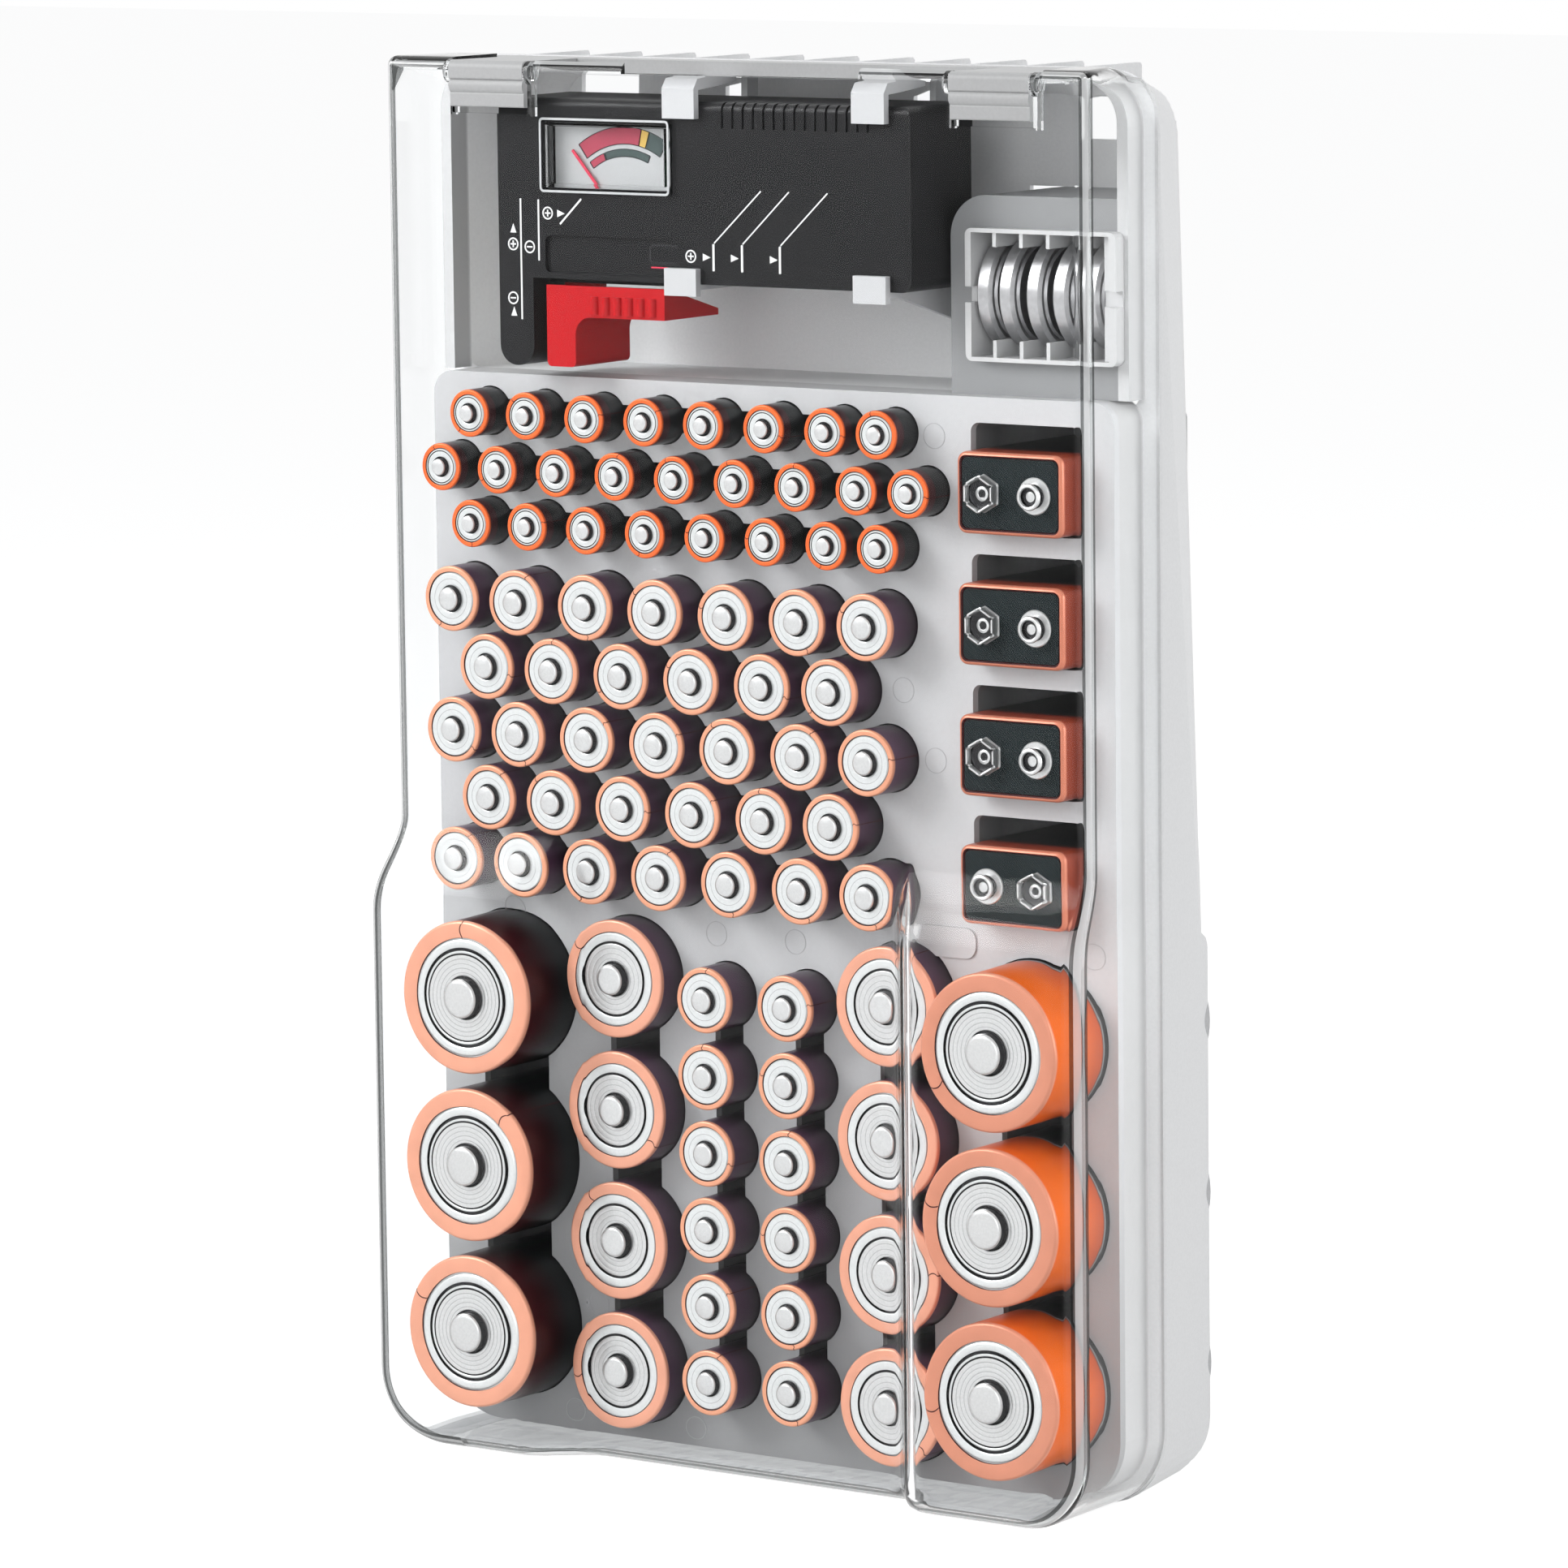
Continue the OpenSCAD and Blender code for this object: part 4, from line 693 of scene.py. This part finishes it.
def cover_face(bm, inset):
    """One face of the cover's wall: its front, the rounded edge and the sides to the rim."""
    front_line = outline(UP_HALF, LOW_HALF, TOP_R, LOW_R, inset)
    rim_line = outline(RIM_HALF, RIM_HALF, RIM_TOP_R, RIM_LOW_R, inset)

    def radius(z):
        return edge_radius(z) - inset

    def depth(x, z, inside):
        edge = radius(z)
        rounding = edge - math.sqrt(max(0, edge**2 - max(0, edge - inside) ** 2))
        low_edge = max(0, 7 - (z - inset))
        foot = 0.03 * low_edge**2
        return -(FRONT + pod_depth(x, z, inset) - inset) + rounding + foot

    spots = list(front_line)
    insides = [0.0] * len(spots)
    borders = [(j, (j + 1) % len(spots)) for j in range(len(spots))]
    for k in range(1, EDGE_TURNS + 1):
        share = 1 - math.cos(math.pi / 2 * k / EDGE_TURNS)
        for x, z in shrunk(front_line, lambda z: radius(z) * share):
            inside = distance_to(front_line, x, z)
            if inside > radius(z) * share - 0.04:
                spots.append((x, z))
                insides.append(inside)
    fence = shrunk(front_line, lambda z: FLAT_INSIDE)

    def within(x, z):
        hit = False
        for j in range(len(fence)):
            (ax, az), (bx, bz) = fence[j], fence[j - 1]
            if (az > z) != (bz > z) and x < (bx - ax) * (z - az) / (bz - az) + ax:
                hit = not hit
        return hit

    xs = [4.1 * k for k in range(-10, 11)]
    xs += [s * (41.6 + 0.6 * k) for k in range(27) for s in (-1, 1)]
    xs += [s * (60 + 4 * k) for k in range(9) for s in (-1, 1)]
    zs = [4 * k for k in range(1, 29)] + [114 + k for k in range(33)] + [150 + 4 * k for k in range(39)]
    for x in xs:
        for z in zs:
            if within(x, z):
                spots.append((x, z))
                insides.append(FLAT_INSIDE)
    flat = [Vector(p) for p in spots]
    _, _, faces, sources, _, _ = delaunay_2d_cdt(flat, borders, [], 1, 1e-5)
    verts = [bm.verts.new((x, depth(x, z, insides[k]), z)) for k, (x, z) in enumerate(spots)]
    for face in faces:
        picked = [sources[v][0] for v in face]
        if len(set(picked)) < 3:
            continue
        made = bm.faces.new([verts[k] for k in picked])
        mid_x = sum(spots[k][0] for k in picked) / 3
        mid_z = sum(spots[k][1] for k in picked) / 3
        if all(insides[k] <= radius(spots[k][1]) + 0.05 for k in picked):
            reach = [insides[k] for k in picked]
            share = (min(reach) + max(reach)) / 2 / radius(mid_z)
            made.material_index = IN_EDGE if inset else edge_look(share, mid_x < LEFT_ZONE)
        elif RIDGE_ROOT - 4 < mid_x < RIDGES[1][0] + 3 and mid_z < POD_LOW + 8:
            made.material_index = IN_RIDGE
    previous = verts[:len(front_line)]
    for j in range(1, RIM_LEVELS + 1):
        share = j / RIM_LEVELS
        ring = []
        for k, (x, z) in enumerate(front_line):
            start = depth(x, z, 0)
            ring.append(bm.verts.new((
                x + (rim_line[k][0] - x) * share, start + (RIM_DEPTH - start) * share,
                z + (rim_line[k][1] - z) * share)))
        for k in range(len(ring)):
            n = (k + 1) % len(ring)
            made = bm.faces.new((previous[k], previous[n], ring[n], ring[k]))
            # The foot of the wall takes the grey tint of painted shade
            if max(v.co.z for v in made.verts) < FOOT_WALL:
                made.material_index = IN_FOOT_SHADE
        previous = ring
    return previous


def cut_box(low, high):
    """A plain box used only to cut or join another piece."""
    bm = bmesh.new()
    bmesh.ops.create_cube(bm, size=1)
    for v in bm.verts:
        v.co = [low[k] + (v.co[k] + 0.5) * (high[k] - low[k]) for k in range(3)]
    return bm


def cut_rod(x0, x1, radius):
    """A rod on the hinge axis, used only to join the cover."""
    bm = bmesh.new()
    segments = 32
    ends = []
    for x in (x0, x1):
        ends.append([bm.verts.new((x, HINGE_DEPTH + radius * math.cos(2 * math.pi * s / segments),
                                   HINGE_HEIGHT + radius * math.sin(2 * math.pi * s / segments)))
                     for s in range(segments)])
    for k in range(segments):
        n = (k + 1) % segments
        bm.faces.new((ends[0][k], ends[0][n], ends[1][n], ends[1][k]))
    bm.faces.new(ends[0])
    bm.faces.new(ends[1][::-1])
    return bm


def apply_tool(piece, bm, operation):
    """Cuts or joins with a tool whose faces take the look of the cover's edge."""
    for face in bm.faces:
        face.material_index = IN_EDGE
    tool = to_object("tool", bm)
    mod = piece.modifiers.new("cut", "BOOLEAN")
    mod.operation = operation
    mod.solver = "EXACT"
    mod.object = tool
    bpy.context.view_layer.objects.active = piece
    bpy.ops.object.modifier_apply(modifier=mod.name)
    bpy.data.objects.remove(tool)


def add_cover():
    bm = bmesh.new()
    outer = cover_face(bm, 0)
    inner = cover_face(bm, WALL)
    for k in range(len(outer)):
        n = (k + 1) % len(outer)
        made = bm.faces.new((outer[k], outer[n], inner[n], inner[k]))
        made.material_index = IN_CUT if outer[k].co.x > CUT_ZONE else IN_SHEET
    cover = make_piece("clear_cover", bm, COVER_LOOKS, "cover", ["cover"])
    notch_half = BARREL_HALF + EAR_GAP + EAR_T
    shoulder = HINGE_HEIGHT - 20
    over = COVER_TOP + 5
    cuts = [((HINGES[0] - notch_half, -FRONT + WALL, shoulder), (HINGES[1] + notch_half, 20, over)),
            ((-SHOULDER_HALF, SHOULDER_DEPTH, shoulder), (SHOULDER_HALF, 20, over)),
            ((LIP_LEFT, -FRONT - 1, BROW), (LIP_RIGHT, 20, over))]
    for x in HINGES:
        cuts.append(((x - notch_half, -FRONT - 1, HINGE_HEIGHT - NOTCH_LOW), (x + notch_half, 20, over)))
    for low, high in cuts:
        apply_tool(cover, cut_box(low, high), "DIFFERENCE")
    for x in HINGES:
        for way in (-1, 1):
            near = x + way * (BARREL_HALF + EAR_GAP)
            low, high = sorted((near, near + way * EAR_T))
            apply_tool(cover, cut_box((low, -FRONT, HINGE_HEIGHT - NOTCH_LOW - 0.5),
                                      (high, -FRONT + 2.6, HINGE_HEIGHT)), "UNION")
            apply_tool(cover, cut_rod(low, high, EAR_R), "UNION")
            low, high = sorted((near - way * 3, near + way * 0.5))
            apply_tool(cover, cut_rod(low, high, BOSS_R), "UNION")


# ---------------------------------------------------------------- round cells

# Looks of a metal top: plain steel, a painted highlight, painted shade in grooves and on the nub's side,
# and grey lines of painted reflection
PLAIN, HIGHLIGHT, SHADED, REFLECTION_LINE = 0, 1, 2, 3
# For each kind: segments, lip radius, rounding of the sleeve, and the metal top from the
# lip inwards as (radius, height above the sleeve's front, look up to the next point)
CELLS = {
    "d": (96, 13.25, 0.7, [
        (13.15, -0.4, HIGHLIGHT), (12.9, -0.1, HIGHLIGHT), (12.5, 0.05, HIGHLIGHT), (11.6, 0.05, HIGHLIGHT),
        (11.2, -0.15, SHADED), (11.05, -0.75, SHADED), (10.65, -0.75, SHADED), (10.5, -0.1, HIGHLIGHT),
        (10.35, 0.03, HIGHLIGHT), (10.05, 0.03, HIGHLIGHT), (9.92, -0.05, SHADED), (9.8, -0.3, SHADED),
        (9.66, -0.3, SHADED), (9.55, -0.03, PLAIN), (9.1, 0.05, PLAIN), (8.75, -0.06, REFLECTION_LINE),
        (8.55, -0.06, PLAIN), (8.1, 0.06, PLAIN), (7.7, -0.06, REFLECTION_LINE), (7.55, -0.06, PLAIN),
        (7.1, 0.06, PLAIN), (6.7, -0.06, REFLECTION_LINE), (6.52, -0.06, PLAIN), (6.1, 0.06, PLAIN),
        (5.7, -0.05, REFLECTION_LINE), (5.55, -0.05, PLAIN), (5.2, 0.0, PLAIN), (4.95, -0.03, SHADED),
        (4.75, -0.15, SHADED), (4.55, 0.0, SHADED), (4.42, 0.3, SHADED), (4.38, 1.6, PLAIN),
        (4.2, 1.95, PLAIN), (3.85, 2.15, PLAIN), (3.4, 2.2, PLAIN), (0, 2.2, PLAIN)]),
    "c": (80, 10.45, 0.6, [
        (10.4, -0.35, HIGHLIGHT), (10.2, -0.05, HIGHLIGHT), (9.85, 0.05, HIGHLIGHT), (8.85, 0.05, HIGHLIGHT),
        (8.42, -0.1, SHADED), (8.3, -0.6, SHADED), (7.98, -0.6, SHADED), (7.85, -0.08, PLAIN),
        (7.5, 0.04, PLAIN), (6.95, -0.05, REFLECTION_LINE), (6.8, -0.05, PLAIN), (6.3, 0.04, PLAIN),
        (5.75, -0.05, REFLECTION_LINE), (5.6, -0.05, PLAIN), (5.1, 0.04, PLAIN), (4.65, -0.03, REFLECTION_LINE),
        (4.5, -0.02, PLAIN), (3.95, -0.02, SHADED), (3.75, -0.15, SHADED),
        (3.58, 0.0, SHADED), (3.46, 0.3, SHADED), (3.4, 1.45, PLAIN), (3.2, 1.8, PLAIN),
        (2.85, 1.96, PLAIN), (2.4, 2.0, PLAIN), (0, 2.0, PLAIN)]),
    "aa": (56, 6.0, 0.45, [
        (6.0, -0.35, SHADED), (5.88, -0.3, HIGHLIGHT), (5.7, -0.05, HIGHLIGHT), (5.2, 0.02, HIGHLIGHT),
        (4.5, 0.03, REFLECTION_LINE), (4.36, 0.03, HIGHLIGHT), (3.4, 0.02, HIGHLIGHT), (3.02, -0.02, SHADED),
        (2.88, -0.12, SHADED),
        (2.72, -0.02, SHADED), (2.62, 0.25, SHADED), (2.56, 1.0, PLAIN), (2.42, 1.25, PLAIN),
        (2.1, 1.4, PLAIN), (0, 1.4, PLAIN)]),
    "aaa": (44, 4.15, 0.35, [
        (4.15, -0.3, SHADED), (4.05, -0.25, HIGHLIGHT), (3.9, -0.02, HIGHLIGHT), (3.68, 0.0, SHADED),
        (3.56, -0.15, SHADED), (3.45, -0.02, HIGHLIGHT), (2.9, 0.02, HIGHLIGHT), (2.3, 0.0, SHADED),
        (2.1, -0.1, SHADED), (1.95, 0.02, SHADED), (1.86, 0.25, SHADED), (1.8, 0.85, PLAIN),
        (1.66, 1.1, PLAIN), (1.4, 1.2, PLAIN), (0, 1.2, PLAIN)])}
# How far behind its sleeve a can reaches
TAIL_STEP = 1.2


# The points of a sleeve's profile that lie on its folded lip
LIP_RINGS = (12, 16)


def can_profile(kind, radius, front):
    inner = radius - 0.4
    points = [(0, 0, PLAIN), (radius - 1.2, 0, PLAIN), (inner, 0.8, PLAIN), (inner, front - 1.4, PLAIN),
              (radius * 0.9, front - 0.5, PLAIN)]
    return points + [(r, front + lift, look) for r, lift, look in CELLS[kind][3]]


def sleeve_profile(kind, radius, front):
    _, lip, soft, _ = CELLS[kind]
    points = [(radius - 0.3, TAIL_STEP, 0), (radius, TAIL_STEP, 0)]
    for k in range(6):
        points.append((radius, TAIL_STEP + (front - soft - TAIL_STEP) * (k + 1) / 6, 0))
    for k in range(1, 6):
        a = math.pi / 2 * k / 5
        points.append((radius - soft + soft * math.cos(a), front - soft + soft * math.sin(a), 0))
    points += [(lip + 0.3, front, 0), (lip + 0.08, front - 0.06, 1), (lip, front - 0.2, 1),
               (lip, front - 0.5, 1), (radius - soft, front - 0.45, 1), (radius - 0.35, front - soft, 1)]
    return points


def seam_strip(bm, x, z, front, kind, radius, angle):
    """A thin dark line where a sleeve's ends meet, across its front ring and down its side."""
    _, lip, soft, _ = CELLS[kind]
    lift = 0.02
    path = [(lip + (radius - soft - lip) * k / 6, front - lift) for k in range(7)]
    for k in range(1, 5):
        a = math.pi / 2 * (1 - k / 4)
        path.append((radius - soft + (soft + lift) * math.cos(a),
                     front + soft - (soft + lift) * math.sin(a)))
    path.append((radius + lift, 0.0))
    half = 0.004 * radius + 0.07
    last = None
    for k, (r, y) in enumerate(path):
        a = angle + 0.05 * math.sin(min(k, 7) * 0.45)
        pair = [bm.verts.new((x + r * math.cos(a + s * half / r), y, z + r * math.sin(a + s * half / r)))
                for s in (-1, 1)]
        if last:
            bm.faces.new((last[0], last[1], pair[1], pair[0]))
        last = pair


def add_cells(kind, draw):
    """Turned cans and shrunk sleeves in place of the plain cells of one kind."""
    cans, sleeves, seams = bmesh.new(), bmesh.new(), bmesh.new()
    segments = CELLS[kind][0]
    for low, high in islands(kind + "_sleeves"):
        x, z = (low[0] + high[0]) / 2, (low[2] + high[2]) / 2
        radius = (high[0] - low[0]) / 2
        tail = high[1] + TAIL_STEP
        front = tail - low[1]
        turned(cans, x, z, tail, can_profile(kind, radius, front), segments)
        phases = [draw.uniform(0, 2 * math.pi) for _ in range(3)]

        def wobble(angle, k):
            if k < LIP_RINGS[0] or k > LIP_RINGS[1]:
                return 0, 0
            wave = math.sin(2 * angle + phases[0]) + 0.6 * math.sin(5 * angle + phases[1])
            return 0.006 * radius * wave, 0

        turned(sleeves, x, z, tail, sleeve_profile(kind, radius, front), segments, wobble,
               shift=0 if x < 0 else 2)
        seam_strip(seams, x, z, low[1], kind, radius, phases[2])
    left, right = SLEEVE_LOOKS[kind]
    make_piece(kind + "_can_tops", cans, [CAN, CAN_HIGHLIGHT, CAN_SHADED, CAN_REFLECTION_LINE], "case",
               [kind + "_cans"])
    make_piece(kind + "_sleeve_prints", sleeves, [left, SEAM, right, SEAM], "case",
               [kind + "_sleeves"])
    make_piece(kind + "_sleeve_seams", seams, [SEAM], "case")


# ---------------------------------------------------------------- 9 volt batteries

NV_HALF_W, NV_HALF_T, NV_R = 13.25, 8.75, 2.2
NV_BACK = 39.5
PLATE_FRONT, PLATE_BACK = -6.1, -5.2
# The case's rings as (inset, depth), from its tail to the fold inside its rim
NV_RINGS = [(0.6, NV_BACK), (0, NV_BACK - 0.6), (0, -5.5), (0.12, -6.0), (0.42, -6.33), (0.75, NV_FRONT),
            (1.02, -6.22), (1.15, -5.7)]
# Snap profiles: look 1 is the dark steel, painted shade inside the cups
SOCKET = [(0, 0, 0), (4.2, 0, 0), (4.2, 0.25, 0), (3.95, 0.5, 0), (3.8, 1.0, 0), (3.95, 1.7, 0),
          (4.15, 2.5, 0), (4.05, 2.8, 0), (3.85, 2.9, 0), (3.6, 2.8, 0), (3.5, 2.4, 0),
          (3.35, 1.6, 1), (3.2, 0.9, 1), (2.9, 0.7, 1), (1.7, 0.7, 0), (1.55, 1.0, 0), (1.1, 1.15, 0),
          (0.9, 0.95, 1), (0.5, 0.9, 1), (0, 0.9, 0)]
STUD = [(0, 0, 0), (4.0, 0, 0), (4.0, 0.3, 0), (3.8, 0.5, 0), (2.6, 0.55, 1), (2.35, 0.8, 1),
        (2.35, 1.4, 0), (2.75, 2.0, 0), (2.9, 2.4, 0), (2.75, 2.75, 0), (2.4, 2.9, 0), (2.1, 2.82, 0),
        (1.95, 2.5, 1), (1.9, 1.6, 1), (1.25, 1.5, 0), (1.1, 1.75, 0), (0.6, 1.85, 0), (0, 1.85, 0)]
SOCKET_ROUND = 11


def hexed(angle, k):
    """Pulls the outer rings of a socket to a hexagon, and slits its wall at the corners."""
    radius = SOCKET[k][0]
    if k < 1 or k > SOCKET_ROUND:
        return 0, 0
    turn = math.degrees(angle - math.pi / 2) % 60
    turn = turn - 60 if turn > 30 else turn
    flat = math.cos(math.radians(30)) / math.cos(math.radians(abs(turn) - 30))
    slit = 0.75 if abs(turn) < 5 and 6 <= k <= 10 else 0
    return radius * (min(flat, 0.985) - 1), -slit


def add_nine_volts():
    cases, plates = bmesh.new(), bmesh.new()
    sockets, studs = bmesh.new(), bmesh.new()
    for low, high in islands("nine_volt_cases"):
        x, z = (low[0] + high[0]) / 2, (low[2] + high[2]) / 2
        rings = []
        for inset, y in NV_RINGS:
            line = soft_outline(NV_HALF_W - inset, NV_HALF_T - inset, NV_R - 0.75 * inset)
            rings.append([(x + dx, y, z + dz) for dx, dz in line])
        loops = skin(cases, rings, [0] * 5 + [1] * 2)
        cases.faces.new(loops[0])
        cases.faces.new(loops[-1]).material_index = 1
        inner = [(x + dx, z + dz) for dx, dz in soft_outline(NV_HALF_W - 1.25, NV_HALF_T - 1.25, 1.3)]
        prism(plates, inner, PLATE_FRONT, PLATE_BACK)
    for low, high in islands("nine_volt_sockets"):
        x, z = (low[0] + high[0]) / 2, (low[2] + high[2]) / 2
        turned(sockets, x, z, PLATE_FRONT, SOCKET, 72, hexed)
    for low, high in islands("nine_volt_studs"):
        x, z = (low[0] + high[0]) / 2, (low[2] + high[2]) / 2
        turned(studs, x, z, PLATE_FRONT, STUD, 48)
    make_piece("nine_volt_rims", cases, [NINE_VOLT, SEAM], "case", ["nine_volt_cases"])
    make_piece("nine_volt_plates", plates, [WEAVE], "case", ["nine_volt_tops"])
    make_piece("snap_sockets", sockets, [CAN, CAN_SHADED], "case", ["nine_volt_sockets"])
    make_piece("snap_studs", studs, [CAN, CAN_SHADED], "case", ["nine_volt_studs"])


# ---------------------------------------------------------------- printed and moulded marks

TESTER_FACE, RECESS_FACE, DIAL_FACE = -9.0, -8.2, -5.6
PRINT_T = 0.06
STROKE = 0.42


def stroke(bm, ax, az, bx, bz, face, width=STROKE, material=0):
    """A thin raised line."""
    size = math.hypot(bx - ax, bz - az)
    nx, nz = -(bz - az) / size * width / 2, (bx - ax) / size * width / 2
    prism(bm, [(ax + nx, az + nz), (bx + nx, bz + nz), (bx - nx, bz - nz), (ax - nx, az - nz)],
          face - PRINT_T, face + PRINT_T, material)


def hoop(bm, x, z, radius, face, width=STROKE, segments=28):
    """A thin raised circle."""
    rings = []
    for r, y in ((radius - width / 2, face + PRINT_T), (radius + width / 2, face + PRINT_T),
                 (radius + width / 2, face - PRINT_T), (radius - width / 2, face - PRINT_T)):
        rings.append([(x + r * math.cos(2 * math.pi * s / segments), y,
                       z + r * math.sin(2 * math.pi * s / segments)) for s in range(segments)])
    skin(bm, rings, [0] * 4, closed=True)


def sign(bm, x, z, face, plus):
    """A polarity sign in a circle."""
    hoop(bm, x, z, 1.25, face, 0.34)
    stroke(bm, x - 0.75, z, x + 0.75, z, face, 0.34)
    if plus:
        stroke(bm, x, z - 0.75, x, z - 0.17, face, 0.34)
        stroke(bm, x, z + 0.17, x, z + 0.75, face, 0.34)


def arrow(bm, x, z, face, turn, size=1.3):
    """A solid triangle that points up, or to the right when turned."""
    tip = [(0, 1.0), (-0.62, -0.55), (0.62, -0.55)]
    if turn:
        tip = [(dz, -dx) for dx, dz in tip]
    prism(bm, [(x + size * dx, z + size * dz) for dx, dz in tip], face - PRINT_T, face + PRINT_T)


def frame_line(bm, x0, z0, x1, z1, radius, face, width):
    """A thin raised outline of a rounded rectangle."""
    cx, cz, hw, hh = (x0 + x1) / 2, (z0 + z1) / 2, (x1 - x0) / 2, (z1 - z0) / 2
    rings = []
    for grow, y in ((-1, face + PRINT_T), (1, face + PRINT_T),
                    (1, face - PRINT_T), (-1, face - PRINT_T)):
        step = grow * width / 2
        line = soft_outline(hw + step, hh + step, radius + step)
        rings.append([(cx + dx, y, cz + dz) for dx, dz in line])
    skin(bm, rings, [0] * 4, closed=True)


def add_tester_print():
    marks = bmesh.new()
    stroke(marks, -57.45, 252.0, -57.45, 278.4, TESTER_FACE)
    stroke(marks, -52.6, 265.0, -52.6, 278.3, TESTER_FACE)
    stroke(marks, -46.8, 273.1, -41.0, 278.7, TESTER_FACE)
    for x, z, plus in ((-59.6, 268.4, True), (-59.8, 256.6, False),
                       (-55.1, 267.9, False), (-50.1, 275.4, True)):
        sign(marks, x, z, TESTER_FACE, plus)
    arrow(marks, -59.5, 271.6, TESTER_FACE, False)
    arrow(marks, -59.6, 253.4, TESTER_FACE, False)
    arrow(marks, -46.8, 275.4, TESTER_FACE, True)
    sign(marks, -11.9, 267.2, TESTER_FACE, True)
    for x, bar, end in ((-8.0, -5.9, 6.7), (-0.6, 1.6, 14.0), (9.6, 11.5, 24.0)):
        arrow(marks, x, 267.1, TESTER_FACE, True)
        stroke(marks, bar, 264.2, bar, 270.0, TESTER_FACE, 0.55)
        stroke(marks, bar + 0.2, 270.2, end, 281.7, TESTER_FACE, 0.3)
    make_piece("tester_marks", marks, [PRINT], "case")
    pocket = bmesh.new()
    frame_line(pocket, -23.3, 265.4, -15.9, 269.2, 0.9, RECESS_FACE, 0.4)
    stroke(pocket, -23.0, 264.4, -18.6, 264.4, RECESS_FACE, 0.3, material=1)
    make_piece("recess_mark", pocket, [DARK, NEEDLE], "case")


NEEDLE_X, NEEDLE_Z = -31.2, 273.4
# Dial bands as (inner radius, outer radius, first and last angle from upright, look)
BANDS = [(17.3, 21, -36.4, 12, 0), (17.3, 21, 12, 18, 1), (17.3, 21, 18, 32, 2),
         (14.6, 16.2, -36, -21, 0), (14.6, 16.2, -20, 24, 2)]


def add_dial():
    bands = bmesh.new()
    for inner, outer, first, last, look in BANDS:
        count = max(3, int((last - first) / 2))
        turns = [math.radians(first + (last - first) * k / count) for k in range(count + 1)]
        line = [(NEEDLE_X + outer * math.sin(a), NEEDLE_Z + outer * math.cos(a)) for a in turns]
        line += [(NEEDLE_X + inner * math.sin(a), NEEDLE_Z + inner * math.cos(a)) for a in turns[::-1]]
        prism(bands, line, DIAL_FACE - PRINT_T, DIAL_FACE + PRINT_T, look)
        for radius in (inner, outer):
            for a, b in zip(turns, turns[1:]):
                stroke(bands, NEEDLE_X + radius * math.sin(a), NEEDLE_Z + radius * math.cos(a),
                       NEEDLE_X + radius * math.sin(b), NEEDLE_Z + radius * math.cos(b),
                       DIAL_FACE - 0.03, 0.18, 3)
        for a in (turns[0], turns[-1]):
            stroke(bands, NEEDLE_X + inner * math.sin(a), NEEDLE_Z + inner * math.cos(a),
                   NEEDLE_X + outer * math.sin(a), NEEDLE_Z + outer * math.cos(a),
                   DIAL_FACE - 0.03, 0.25, 3)
    make_piece("dial_bands", bands, [BAND_RED, BAND_YELLOW, BAND_GREEN, DARK], "case")


WINDOW_FACE = -10.2


def add_window_rim():
    """The pale line round the meter's window."""
    rim = bmesh.new()
    frame_line(rim, -51.0, 280.3, -16.8, 296.0, 0.8, WINDOW_FACE, 0.5)
    make_piece("window_rim", rim, [RIM], "case")


EJECTORS = [(44.7, 230.2), (36.2, 175.2), (44.4, 160.5), (-13.8, 118.3), (7.2, 118.2), (-69.3, 119.3),
            (83.3, 121.0), (-21.1, 6.9), (-54.1, 7.3), (-47.3, 32.3)]


def add_deck_marks():
    marks = bmesh.new()
    for x, z in EJECTORS:
        hoop(marks, x, z, 2.7, 0.0, 0.16, 40)
    frame_line(marks, 38.7, 117.9, 54.4, 124.2, 2.2, 0.0, 0.16)
    make_piece("deck_marks", marks, [MARK], "case")


# ---------------------------------------------------------------- the scene

bpy.context.scene.view_settings.view_transform = "Standard"
add_camera()
add_world()
add_floor()
for lamp in LAMPS:
    add_lamp(*lamp)
dress_nodes()
add_cover()
add_dial()
add_window_rim()
add_tester_print()
add_deck_marks()
draw = random.Random(7)
for kind in ("aaa", "aa", "c", "d"):
    add_cells(kind, draw)
add_nine_volts()
